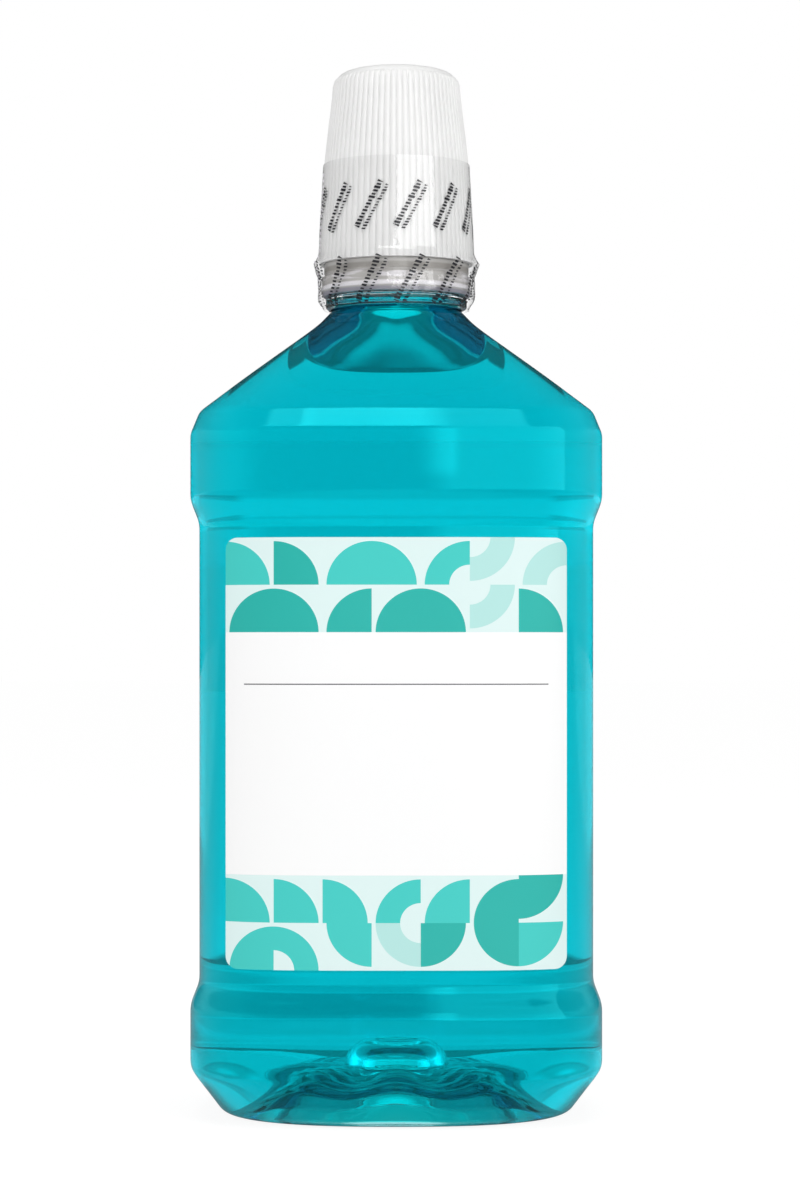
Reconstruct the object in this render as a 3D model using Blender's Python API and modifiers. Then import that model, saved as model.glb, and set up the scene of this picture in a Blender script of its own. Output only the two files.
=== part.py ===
"""Mouthwash bottle: a blown bottle with its liquid, label, screw closure and shrink band.

Metres, +Z up. The origin is under the middle of the foot, and the label faces -Y.
Every place follows from the driving dimensions below, from the foot up to the cap.
"""

import bisect
from dataclasses import dataclass
from math import cos, pi, sin, tau

import bmesh
import bpy
from mathutils import Vector

# Bottle body, from the foot up
BUMPER_WIDTH = 0.112
BUMPER_DEPTH = 0.083
PANEL_INSET = 0.0024
FOOT_SIDE_INSET = 0.0078
FOOT_FRONT_INSET = 0.0036
FOOT_ROUNDING = 0.0018
STANDING_WIDTH = 0.0040
FOOT_HEIGHT = 0.0140
LOWER_BUMPER_HEIGHT = 0.0160
BUMPER_TAPER_HEIGHT = 0.0062
PANEL_HEIGHT = 0.1242
UPPER_BUMPER_HEIGHT = 0.0178
SHOULDER_BEVEL_HEIGHT = 0.0060
SHOULDER_BEVEL_INSET = 0.0024
SHOULDER_HEIGHT = 0.0285
BODY_WALL = 0.0007

# Raised middle of the base
PUNT_HEIGHT = 0.0190
PUNT_DOME_RADIUS = 0.0130
PUNT_DOME_RISE = 0.0070
PUNT_RIB_COUNT = 8
PUNT_RIB_DEPTH = 0.0012

# Neck and its finish
NECK_RADIUS = 0.0180
NECK_FLARE = 0.0022
BEAD_RISE = 0.0008
BEAD_WIDTH = 0.0014
BEAD_HEIGHT = 0.0028
FINISH_STEP = 0.0007
FINISH_HEIGHT = 0.0176
FINISH_WALL = 0.0020
THREAD_DEPTH = 0.0011

# Liquid and label
FILL_BELOW_LIP = 0.0185
LABEL_SIDE_MARGIN = 0.0084
LABEL_FOOT_MARGIN = 0.0055
LABEL_TOP_MARGIN = 0.0047
LABEL_CORNER_RADIUS = 0.0032
LABEL_THICKNESS = 0.0002

# Closure
THREAD_CLEARANCE = 0.0003
SKIRT_ABOVE_BEAD = 0.0018
SKIRT_WALL = 0.0010
COLLAR_HEIGHT = 0.0075
COLLAR_INSET = 0.0005
LINER_THICKNESS = 0.0010
LEDGE_THICKNESS = 0.0012
CUP_WALL = 0.0010
CUP_CLEARANCE = 0.0027
SHELL_HEIGHT = 0.0530
SHELL_WALL = 0.0009
SHELL_TOP_RADIUS = 0.0175
SHELL_TOP_THICKNESS = 0.0013
CROWN_ROUNDING = 0.0050
CROWN_HEIGHT = 0.0040
RIB_COUNT = 70
RIB_DEPTH = 0.0004

# Shrink band
BAND_ABOVE_SHELL_FOOT = 0.0273
BAND_THICKNESS = 0.00025
BAND_BULGE = 0.0011
BAND_BULGE_HEIGHT = 0.0035

# Gap left between pieces that touch
SEAT_GAP = 0.0003

# Roundness of the sections: 2 is an ellipse, more is squarer
BODY_SQUARENESS = 4.0
FOOT_SQUARENESS = 2.5
DOME_SQUARENESS = 2.0

# Points around each piece
BOTTLE_FACETS = 48
TURNED_FACETS = 40
LABEL_COLUMNS = 26
LABEL_CORNER_STEPS = 3
CORNER_CROWDING = 0.4

# Outline of the shell's side: height share up to the crown, share of the taper used up there
SHELL_SIDE_SHARES = (
    (0.0, 0.0),
    (0.22, 0.13),
    (0.41, 0.27),
    (0.57, 0.38),
    (0.775, 0.68),
    (0.92, 0.92),
    (1.0, 1.0),
)
# Outline of the bevel ramp from a bumper to the panel: height share, inset share
RAMP_SHARES = ((0.0, 0.0), (0.2, 0.12), (0.8, 0.88), (1.0, 1.0))
# Outline of the foot's chamfer: height share, share of the foot's inset left there
CHAMFER_SHARES = ((0.0, 1.0), (0.42, 0.56), (0.84, 0.10), (1.0, 0.0))
# Outline from the standing ring in to the dome: share of the way in, height share, rib share
HOLLOW_SHARES = ((0.0, 0.0, 0.0), (0.14, 0.34, 0.6), (0.45, 0.62, 1.0), (0.75, 0.82, 0.8), (1.0, 1.0, 0.0))
# Outline of the dome: radius share, height share
DOME_SHARES = ((0.92, 0.45), (0.62, 0.86), (0.3, 0.98))
# Outline of the shoulder: height share, share of the way from the bevel to the neck flare
SHOULDER_SHARES = ((0.0, 0.0), (0.08, 0.075), (0.34, 0.35), (0.62, 0.655), (0.86, 0.92))


@dataclass(frozen=True)
class Section:
    """One level outline of the bottle: a superellipse at a height."""

    height: float
    half_width: float
    half_depth: float
    squareness: float
    rib: float = 0.0

    def mean_radius(self):
        """Half the mean of the width and the depth."""
        return (self.half_width + self.half_depth) / 2

    def point(self, turn):
        """Point of the outline in the direction of one angle, ribs included."""
        across, along = cos(turn), sin(turn)
        reach = (abs(across) ** self.squareness + abs(along) ** self.squareness) ** (-1 / self.squareness)
        lift = self.rib * cos(PUNT_RIB_COUNT * turn)
        return Vector((self.half_width * across * reach, self.half_depth * along * reach, self.height + lift))

    def ring(self, facets):
        """Points all round the outline, closer together at the corners."""
        turns = (tau * i / facets for i in range(facets))
        return [self.point(turn + CORNER_CROWDING / 4 * sin(4 * turn)) for turn in turns]


# Heights that the pieces share
BUMPER_TOP_Z = FOOT_HEIGHT + LOWER_BUMPER_HEIGHT
PANEL_FOOT_Z = BUMPER_TOP_Z + BUMPER_TAPER_HEIGHT
PANEL_TOP_Z = PANEL_FOOT_Z + PANEL_HEIGHT
UPPER_BUMPER_Z = PANEL_TOP_Z + BUMPER_TAPER_HEIGHT
BEVEL_Z = UPPER_BUMPER_Z + UPPER_BUMPER_HEIGHT
SHOULDER_Z = BEVEL_Z + SHOULDER_BEVEL_HEIGHT
NECK_Z = SHOULDER_Z + SHOULDER_HEIGHT
BEAD_Z = NECK_Z + BEAD_RISE
BEAD_TOP_Z = BEAD_Z + BEAD_HEIGHT
LIP_Z = BEAD_TOP_Z + FINISH_HEIGHT
LIQUID_Z = LIP_Z - FILL_BELOW_LIP
SKIRT_Z = BEAD_TOP_Z + SKIRT_ABOVE_BEAD
SHELL_Z = SKIRT_Z + COLLAR_HEIGHT + SEAT_GAP
LINER_Z = LIP_Z + SEAT_GAP
LEDGE_Z = LINER_Z + LINER_THICKNESS + SEAT_GAP
LEDGE_TOP_Z = LEDGE_Z + LEDGE_THICKNESS
SHELL_TOP_Z = SHELL_Z + SHELL_HEIGHT
SHELL_CEILING_Z = SHELL_TOP_Z - SHELL_TOP_THICKNESS
CROWN_Z = SHELL_TOP_Z - CROWN_HEIGHT
CUP_TOP_Z = SHELL_CEILING_Z - SEAT_GAP
BAND_TOP_Z = SHELL_Z + BAND_ABOVE_SHELL_FOOT
LABEL_FOOT_Z = PANEL_FOOT_Z + LABEL_FOOT_MARGIN
LABEL_TOP_Z = PANEL_TOP_Z - LABEL_TOP_MARGIN
LABEL_HALF_WIDTH = BUMPER_WIDTH / 2 - PANEL_INSET - LABEL_SIDE_MARGIN

# Radii that the pieces share
BUMPER_HALF = (BUMPER_WIDTH / 2, BUMPER_DEPTH / 2)
FOOT_INSETS = (FOOT_SIDE_INSET, FOOT_FRONT_INSET)
BEAD_RADIUS = NECK_RADIUS + BEAD_WIDTH
FINISH_RADIUS = NECK_RADIUS - FINISH_STEP
BORE_RADIUS = FINISH_RADIUS - FINISH_WALL
SKIRT_BORE = FINISH_RADIUS + THREAD_DEPTH + THREAD_CLEARANCE
SKIRT_RADIUS = SKIRT_BORE + SKIRT_WALL
SHELL_BORE = SKIRT_RADIUS + SEAT_GAP
SHELL_SKIN = SHELL_WALL + RIB_DEPTH
SHELL_FOOT_RADIUS = SHELL_BORE + SHELL_SKIN
COLLAR_RADIUS = SHELL_FOOT_RADIUS - COLLAR_INSET


def body_section(height, insets, squareness=BODY_SQUARENESS, rib=0.0):
    """Section of the body whose sides stand in from the bumpers by the given insets."""
    half_width, half_depth = (half - inset for half, inset in zip(BUMPER_HALF, insets))
    return Section(height, half_width, half_depth, squareness, rib)


def round_section(height, radius):
    """Round section of the neck or the dome."""
    return Section(height, radius, radius, DOME_SQUARENESS)


def between(first, last, share):
    """Value that lies at a share of the way between two values."""
    return first + (last - first) * share


def section_between(first, last, share, height, rib=0.0):
    """Section whose outline lies at a share of the way between two sections."""
    return Section(
        height,
        between(first.half_width, last.half_width, share),
        between(first.half_depth, last.half_depth, share),
        between(first.squareness, last.squareness, share),
        rib,
    )


def base_sections():
    """Sections of the base, from the top of the dome out to the standing ring."""
    rim_insets = tuple(inset + FOOT_ROUNDING for inset in FOOT_INSETS)
    hollow_insets = tuple(inset + STANDING_WIDTH for inset in rim_insets)
    standing = body_section(0, hollow_insets, FOOT_SQUARENESS)
    dome_foot = round_section(PUNT_HEIGHT - PUNT_DOME_RISE, PUNT_DOME_RADIUS)
    dome = [
        round_section(dome_foot.height + PUNT_DOME_RISE * rise, PUNT_DOME_RADIUS * reach)
        for reach, rise in reversed(DOME_SHARES)
    ]
    hollow = [
        section_between(standing, dome_foot, way, dome_foot.height * rise, PUNT_RIB_DEPTH * rib)
        for way, rise, rib in reversed(HOLLOW_SHARES)
    ]
    return dome + hollow + [body_section(0, rim_insets, FOOT_SQUARENESS)]


def side_sections():
    """Sections of the side, from the foot's rounding up to the shoulder's bevel."""
    foot = body_section(FOOT_ROUNDING / 2, FOOT_INSETS, FOOT_SQUARENESS)
    bumper = body_section(FOOT_HEIGHT, (0, 0))
    sections = [
        section_between(bumper, foot, left, between(foot.height, bumper.height, rise))
        for rise, left in CHAMFER_SHARES
    ]
    for share, inset in RAMP_SHARES:
        sections.append(body_section(BUMPER_TOP_Z + BUMPER_TAPER_HEIGHT * share, (PANEL_INSET * inset,) * 2))
    for share, inset in reversed(RAMP_SHARES):
        sections.append(body_section(UPPER_BUMPER_Z - BUMPER_TAPER_HEIGHT * share, (PANEL_INSET * inset,) * 2))
    sections.append(body_section(BEVEL_Z, (0, 0)))
    return sections


def shoulder_sections():
    """Sections of the shoulder, which turns from the squared body into the round neck."""
    bevel = body_section(SHOULDER_Z, (SHOULDER_BEVEL_INSET,) * 2)
    flare = round_section(NECK_Z, NECK_RADIUS + NECK_FLARE / 2)
    sections = [
        section_between(bevel, flare, way, between(SHOULDER_Z, NECK_Z, rise)) for rise, way in SHOULDER_SHARES
    ]
    sections.append(round_section(NECK_Z - NECK_FLARE / 2, NECK_RADIUS + NECK_FLARE / 2))
    sections.append(round_section(NECK_Z, NECK_RADIUS))
    return sections


def finish_sections():
    """Sections of the neck above the shoulder: the bead and the plain wall for the thread."""
    bead_edge = BEAD_RADIUS - BEAD_HEIGHT / 4
    return [
        round_section(BEAD_Z, NECK_RADIUS),
        round_section(BEAD_Z, bead_edge),
        round_section(BEAD_Z + BEAD_HEIGHT / 4, BEAD_RADIUS),
        round_section(BEAD_TOP_Z - BEAD_HEIGHT / 4, BEAD_RADIUS),
        round_section(BEAD_TOP_Z, bead_edge),
        round_section(BEAD_TOP_Z, FINISH_RADIUS),
        round_section(LIP_Z - SEAT_GAP, FINISH_RADIUS),
        round_section(LIP_Z, FINISH_RADIUS - SEAT_GAP),
    ]


def inset_sections(sections, distance):
    """The same sections moved in towards the inside of the bottle by a wall's thickness."""
    places = [Vector((section.mean_radius(), section.height)) for section in sections]
    runs = [(after - before).normalized() for before, after in zip(places, places[1:])]
    moved = []
    for index, section in enumerate(sections):
        before, after = runs[max(index - 1, 0)], runs[min(index, len(runs) - 1)]
        run = (before + after).normalized()
        reach = distance / run.dot(after)
        moved.append(
            Section(
                section.height + run.x * reach,
                section.half_width - run.y * reach,
                section.half_depth - run.y * reach,
                section.squareness,
                section.rib,
            )
        )
    return moved


def inside_sections(gap):
    """Sections of the bottle's inside, a gap clear of its wall, from the dome up the bore."""
    body = inset_sections(base_sections() + side_sections() + shoulder_sections()[:-1], BODY_WALL + gap)
    return body + [round_section(BEAD_Z, BORE_RADIUS - gap)]


def make_material(name, colour, roughness, alpha=1.0):
    """Plain Principled material of one colour."""
    material = bpy.data.materials.new(name)
    material.use_nodes = True
    shader = material.node_tree.nodes["Principled BSDF"]
    shader.inputs["Base Color"].default_value = (*colour, 1.0)
    shader.inputs["Roughness"].default_value = roughness
    shader.inputs["Metallic"].default_value = 0.0
    shader.inputs["Alpha"].default_value = alpha
    material.diffuse_color = (*colour, alpha)
    return material


def place(name, mesh, collection, material):
    """Object for a mesh, in the collection, with its material and smooth faces."""
    mesh.materials.append(material)
    mesh.shade_smooth()
    mesh.set_sharp_from_angle(angle=pi / 6)
    piece = bpy.data.objects.new(name, mesh)
    collection.objects.link(piece)
    return piece


def join_rings(mesh_builder, lower, upper):
    """Faces between two rings. The longer ring has a whole number of points for each of the shorter."""
    lower_step, upper_step = (max(1, len(ring) // min(len(lower), len(upper))) for ring in (lower, upper))
    for index in range(min(len(lower), len(upper))):
        below = [lower[(index * lower_step + step) % len(lower)] for step in range(lower_step + 1)]
        above = [upper[(index * upper_step + step) % len(upper)] for step in range(upper_step + 1)]
        mesh_builder.faces.new(below + above[::-1])


def loft(name, rings, collection, material):
    """Closed solid through rings of points, with a pole in the middle of the first and last ring."""
    mesh_builder = bmesh.new()
    loops = [[mesh_builder.verts.new(point) for point in ring] for ring in rings]
    for lower, upper in zip(loops, loops[1:]):
        join_rings(mesh_builder, lower, upper)
    for loop in (loops[0], loops[-1]):
        pole = mesh_builder.verts.new(sum((vertex.co for vertex in loop), Vector()) / len(loop))
        for index, vertex in enumerate(loop):
            mesh_builder.faces.new((vertex, loop[(index + 1) % len(loop)], pole))
    bmesh.ops.triangulate(mesh_builder, faces=mesh_builder.faces, quad_method="SHORT_EDGE")
    bmesh.ops.recalc_face_normals(mesh_builder, faces=mesh_builder.faces)
    mesh = bpy.data.meshes.new(name)
    mesh_builder.to_mesh(mesh)
    mesh_builder.free()
    return place(name, mesh, collection, material)


def turned(name, outline, closed, collection, material):
    """Solid turned from an outline of radii and heights that runs down its outer side."""
    mesh_builder = bmesh.new()
    points = [mesh_builder.verts.new((radius, 0, height)) for radius, height in outline]
    for start, end in zip(points, points[1:]):
        mesh_builder.edges.new((start, end))
    if closed:
        mesh_builder.edges.new((points[-1], points[0]))
    mesh = bpy.data.meshes.new(name)
    mesh_builder.to_mesh(mesh)
    mesh_builder.free()
    piece = place(name, mesh, collection, material)
    screw = piece.modifiers.new("Turn", "SCREW")
    screw.axis = "Z"
    screw.angle = tau
    screw.steps = TURNED_FACETS
    screw.render_steps = TURNED_FACETS
    screw.use_merge_vertices = True
    screw.merge_threshold = SEAT_GAP / 100
    screw.use_smooth_shade = True
    return piece


def shell_radius(height):
    """Outer radius of the ribbed shell at a height, up to its crown."""
    heights = [between(SHELL_Z, CROWN_Z, rise) for rise, _ in SHELL_SIDE_SHARES]
    radii = [between(SHELL_FOOT_RADIUS, SHELL_TOP_RADIUS, taper) for _, taper in SHELL_SIDE_SHARES]
    index = min(max(bisect.bisect(heights, height), 1), len(heights) - 1)
    share = (height - heights[index - 1]) / (heights[index] - heights[index - 1])
    return between(radii[index - 1], radii[index], share)


def crown(top_radius, foot_z, height, rounding, steps):
    """Radii and heights of a quarter-round crown, from its foot up to the flat top."""
    turns = [pi / 2 * (step + 1) / steps for step in range(steps)]
    return [(top_radius - rounding * (1 - cos(turn)), foot_z + height * sin(turn)) for turn in turns]


def circle(radius, height, count):
    """Ring of evenly spaced points."""
    return [Vector((radius * cos(tau * i / count), radius * sin(tau * i / count), height)) for i in range(count)]


def ribbed_circle(radius, height):
    """Ring with a flat crest and a narrow groove for each rib, in three points a rib."""
    points = []
    for rib in range(RIB_COUNT):
        for share, depth in ((0.0, RIB_DEPTH), (1 / 3, 0.0), (2 / 3, 0.0)):
            turn = tau * (rib + share) / RIB_COUNT
            points.append(Vector(((radius - depth) * cos(turn), (radius - depth) * sin(turn), height)))
    return points


def make_bottle(collection, material):
    """Thin blown wall from the dome of the base out, up to the lip and down the inside."""
    outside = base_sections() + side_sections() + shoulder_sections() + finish_sections()
    bore = [round_section(LIP_Z, BORE_RADIUS + SEAT_GAP), round_section(LIP_Z - SEAT_GAP, BORE_RADIUS)]
    rings = [section.ring(BOTTLE_FACETS) for section in outside + bore + inside_sections(0)[::-1]]
    return loft("bottle", rings, collection, material)


def make_liquid(collection, material):
    """Liquid that fills the bottle up into its neck."""
    sections = inside_sections(SEAT_GAP) + [round_section(LIQUID_Z, BORE_RADIUS - SEAT_GAP)]
    return loft("mouthwash", [section.ring(BOTTLE_FACETS) for section in sections], collection, material)


def label_edge_drop(distance):
    """How far the label's top edge drops towards a corner, by the distance from the side edge."""
    inside = max(LABEL_CORNER_RADIUS - distance, 0)
    return LABEL_CORNER_RADIUS - (LABEL_CORNER_RADIUS**2 - inside**2) ** 0.5


def label_columns():
    """Places across the label, from its left edge to its right, closer together at its corners."""
    steps = [1 - cos(pi / 2 * step / LABEL_CORNER_STEPS) for step in range(LABEL_CORNER_STEPS)]
    corner = [LABEL_CORNER_RADIUS * step - LABEL_HALF_WIDTH for step in steps]
    start = LABEL_CORNER_RADIUS - LABEL_HALF_WIDTH
    middle = [between(start, -start, column / LABEL_COLUMNS) for column in range(LABEL_COLUMNS + 1)]
    return corner + middle + [-place for place in reversed(corner)]


def make_label(collection, material):
    """Label bent round the front panel, as a sheet with a thickness."""
    panel = body_section(0, (PANEL_INSET - SEAT_GAP,) * 2)
    mesh_builder = bmesh.new()
    rows = []
    for across in label_columns():
        share = (across / panel.half_width) ** 2
        depth = -panel.half_depth * (1 - share ** (panel.squareness / 2)) ** (1 / panel.squareness)
        drop = label_edge_drop(LABEL_HALF_WIDTH - abs(across))
        heights = (LABEL_FOOT_Z + drop, LABEL_TOP_Z - drop)
        rows.append([mesh_builder.verts.new((across, depth, height)) for height in heights])
    for left, right in zip(rows, rows[1:]):
        mesh_builder.faces.new((left[0], right[0], right[1], left[1]))
    mesh = bpy.data.meshes.new("front_label")
    mesh_builder.to_mesh(mesh)
    mesh_builder.free()
    piece = place("front_label", mesh, collection, material)
    sheet = piece.modifiers.new("Sheet", "SOLIDIFY")
    sheet.thickness = LABEL_THICKNESS
    sheet.offset = 1
    return piece


def make_shell(collection, material):
    """Ribbed outer shell of the cap, with a stepped bore that seats the cup inside it."""
    sides = [between(SHELL_Z, CROWN_Z, rise) for rise, _ in SHELL_SIDE_SHARES[::2]]
    crown_outline = crown(SHELL_TOP_RADIUS, CROWN_Z, CROWN_HEIGHT, CROWN_ROUNDING, 3)
    step_z = LEDGE_TOP_Z + SEAT_GAP
    inner_sides = [between(step_z, CROWN_Z, share) for share in (0.0, 0.5, 1.0)]
    rings = [circle(radius, height, RIB_COUNT) for radius, height in reversed(crown_outline)]
    rings += [ribbed_circle(shell_radius(height), height) for height in reversed(sides)]
    inside = RIB_COUNT // 2
    rings.append(circle(SHELL_BORE, SHELL_Z, inside))
    rings.append(circle(SHELL_BORE, step_z, inside))
    rings += [circle(shell_radius(height) - SHELL_SKIN, height, inside) for height in inner_sides]
    rings.append(circle(SHELL_TOP_RADIUS - CROWN_ROUNDING, SHELL_CEILING_Z, inside))
    return loft("cap_shell", rings, collection, material)


def make_cup(collection, material):
    """Inner cup of the cap: a closed cup above the ledge and a threaded skirt below it."""
    foot_radius = shell_radius(LEDGE_TOP_Z) - SHELL_SKIN - CUP_CLEARANCE
    top_radius = SHELL_TOP_RADIUS - SHELL_SKIN - CUP_CLEARANCE
    outer_crown = crown(top_radius, CUP_TOP_Z - CUP_CLEARANCE, CUP_CLEARANCE, CUP_CLEARANCE, 3)
    ceiling_z = CUP_TOP_Z - CUP_WALL
    inner_crown = crown(top_radius - CUP_WALL, CUP_TOP_Z - CUP_CLEARANCE, CUP_CLEARANCE - CUP_WALL, CUP_CLEARANCE, 3)
    collar_z = SKIRT_Z + COLLAR_HEIGHT
    outline = [(0, CUP_TOP_Z)]
    outline += outer_crown[::-1]
    outline += [
        (top_radius, CUP_TOP_Z - CUP_CLEARANCE),
        (foot_radius, LEDGE_TOP_Z),
        (SKIRT_RADIUS, LEDGE_TOP_Z),
        (SKIRT_RADIUS, collar_z),
        (COLLAR_RADIUS, collar_z),
        (COLLAR_RADIUS, SKIRT_Z),
        (SKIRT_BORE, SKIRT_Z),
        (SKIRT_BORE, LEDGE_Z),
        (foot_radius - CUP_WALL, LEDGE_Z),
        (top_radius - CUP_WALL, CUP_TOP_Z - CUP_CLEARANCE),
    ]
    outline += inner_crown
    outline.append((0, ceiling_z))
    return turned("dosing_cup", outline, False, collection, material)


def make_liner(collection, material):
    """Flat foam ring between the lip and the ledge of the cup."""
    outline = [
        (FINISH_RADIUS, LINER_Z + LINER_THICKNESS),
        (FINISH_RADIUS, LINER_Z),
        (BORE_RADIUS + SEAT_GAP, LINER_Z),
        (BORE_RADIUS + SEAT_GAP, LINER_Z + LINER_THICKNESS),
    ]
    return turned("seal_liner", outline, True, collection, material)


def make_band(collection, material):
    """Clear shrink band: snug on the shell, bulging over its foot, and straight down past the bead."""
    snug = [between(SHELL_Z + BAND_BULGE_HEIGHT, BAND_TOP_Z, share) for share in (1.0, 0.75, 0.5, 0.25, 0.0)]
    inner = [(shell_radius(height) + SEAT_GAP, height) for height in snug]
    sleeve = SHELL_FOOT_RADIUS + SEAT_GAP
    inner += [
        (sleeve + BAND_BULGE, SHELL_Z),
        (sleeve, SHELL_Z - BAND_BULGE_HEIGHT),
        (sleeve, BEAD_Z),
    ]
    outer = [(radius + BAND_THICKNESS, height) for radius, height in inner]
    return turned("tamper_band", outer + inner[::-1], True, collection, material)


def main():
    """Model the bottle in an empty scene."""
    for leftover in list(bpy.data.objects):
        bpy.data.objects.remove(leftover, do_unlink=True)
    collection = bpy.data.collections.new("mouthwash_bottle")
    bpy.context.scene.collection.children.link(collection)
    make_bottle(collection, make_material("clear_pet", (0.60, 0.90, 0.92), 0.05, 0.35))
    make_liquid(collection, make_material("mouthwash", (0.0, 0.42, 0.50), 0.03, 0.85))
    make_label(collection, make_material("label_paper", (0.95, 0.97, 0.97), 0.35))
    make_shell(collection, make_material("white_shell", (0.92, 0.92, 0.91), 0.35))
    make_cup(collection, make_material("natural_cup", (0.86, 0.87, 0.86), 0.30))
    make_liner(collection, make_material("foam_liner", (0.93, 0.93, 0.90), 0.70))
    make_band(collection, make_material("shrink_film", (0.95, 0.96, 0.97), 0.08, 0.30))


main()
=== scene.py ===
"""Looks of the mouthwash bottle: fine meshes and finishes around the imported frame.

Metres, +Z up, and the label faces -Y. Each sub-assembly is a class that holds its sizes,
builds its meshes and dresses them. Heights and radii that the solids fix are read from the
frame's boxes, so a piece here sits where its solid does.
"""

from __future__ import annotations

import logging
import math
from collections.abc import Callable, Iterable, Sequence
from dataclasses import dataclass, field, replace
from enum import Enum
from functools import reduce
from typing import Any

import bpy
from mathutils import Matrix, Vector


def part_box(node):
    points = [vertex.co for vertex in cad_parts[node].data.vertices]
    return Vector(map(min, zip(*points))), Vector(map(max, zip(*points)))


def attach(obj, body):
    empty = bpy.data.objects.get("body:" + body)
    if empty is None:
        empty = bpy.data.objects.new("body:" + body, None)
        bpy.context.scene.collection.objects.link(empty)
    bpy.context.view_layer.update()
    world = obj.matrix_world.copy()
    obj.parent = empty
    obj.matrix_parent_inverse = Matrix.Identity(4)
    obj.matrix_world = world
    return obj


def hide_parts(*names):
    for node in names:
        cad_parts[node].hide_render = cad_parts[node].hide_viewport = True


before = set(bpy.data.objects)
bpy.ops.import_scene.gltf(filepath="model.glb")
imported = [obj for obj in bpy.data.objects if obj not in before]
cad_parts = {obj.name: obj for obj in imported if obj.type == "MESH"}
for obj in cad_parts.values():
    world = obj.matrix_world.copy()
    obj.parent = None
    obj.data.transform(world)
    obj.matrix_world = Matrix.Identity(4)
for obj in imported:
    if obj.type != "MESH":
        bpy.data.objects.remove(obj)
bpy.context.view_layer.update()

log = logging.getLogger("mouthwash_bottle")

TAU = math.tau
MM = 0.001
# How far the points of an outline crowd towards its corners.
CROWDING = 0.1
# Most of a stretch that one rounded corner takes.
MOST_CUT = 0.48
# Gap between a thread's bar and the wall that it stands on.
HAIR = 0.02 * MM
Pair = tuple[float, float]
Triple = tuple[float, float, float]
Four = tuple[float, float, float, float]
Colour = Triple
Inputs = dict[str | int, Any]


class Body(str, Enum):
    """Bodies of the frame that a piece can ride on."""

    BOTTLE = "bottle"
    LINER = "liner"
    CUP = "cup"
    CAP = "cap"
    BAND = "band"


class Slot(str, Enum):
    """Material slots of the record."""

    PET = "clear_pet"
    LIQUID = "teal_liquid"
    LABEL = "label_film"
    SHELL = "white_pp"
    CUP = "natural_pp"
    LINER = "liner_foam"
    FILM = "shrink_film"


def blend(first: float, last: float, share: float) -> float:
    """Value at a share of the way between two values."""
    return first + (last - first) * share


def math_method(operation: str, swapped: bool = False, clamped: bool = False) -> Callable[..., Wire]:
    """Make a method of Wire that adds one Math node.

    Args:
        operation: What the node works out.
        swapped: Whether the wire comes after the other value.
        clamped: Whether the result stays between 0 and 1.

    Returns:
        The method.
    """

    def method(self: Wire, *others: Wire | float) -> Wire:
        """Add the node and return its result."""
        values = enumerate((*others, self) if swapped else (self, *others))
        return self.board.wire("ShaderNodeMath", dict(values), operation=operation, use_clamp=clamped)

    return method


class Wire:
    """A socket's output that takes part in Python arithmetic by adding Math nodes.

    under and over are 1 where the wire is less or more than the limit, and share is the
    quotient kept between 0 and 1.
    """

    def __init__(self, board: Board, socket: bpy.types.NodeSocket) -> None:
        """Keep the board and the socket."""
        self.board = board
        self.socket = socket

    __add__ = __radd__ = math_method("ADD")
    __sub__ = math_method("SUBTRACT")
    __rsub__ = math_method("SUBTRACT", swapped=True)
    __mul__ = __rmul__ = math_method("MULTIPLY")
    __truediv__ = math_method("DIVIDE")
    __pow__ = math_method("POWER")
    __abs__ = math_method("ABSOLUTE")
    floor = math_method("FLOOR")
    fraction = math_method("FRACT")
    under = math_method("LESS_THAN")
    over = math_method("GREATER_THAN")
    least = math_method("MINIMUM")
    most = math_method("MAXIMUM")
    share = math_method("DIVIDE", clamped=True)

    def __neg__(self) -> Wire:
        """Negative."""
        return self * -1.0

    def ramp(self, start: float, stop: float, gain: float = 1.0) -> Wire:
        """0 at start and the gain at stop, straight between and level outside."""
        share = (self - start).share(stop - start)
        return share if gain == 1.0 else share * gain

    def between(self, low: float, high: float) -> Wire:
        """Low where it is 0 and high where it is 1."""
        return self * (high - low) + low

    def within(self, start: float, stop: float, soft: float, gain: float = 1.0) -> Wire:
        """The gain between start and stop, with soft edges inside them, and 0 outside."""
        return self.ramp(start, start + soft, gain) * (1.0 - self.ramp(stop - soft, stop))


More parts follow.
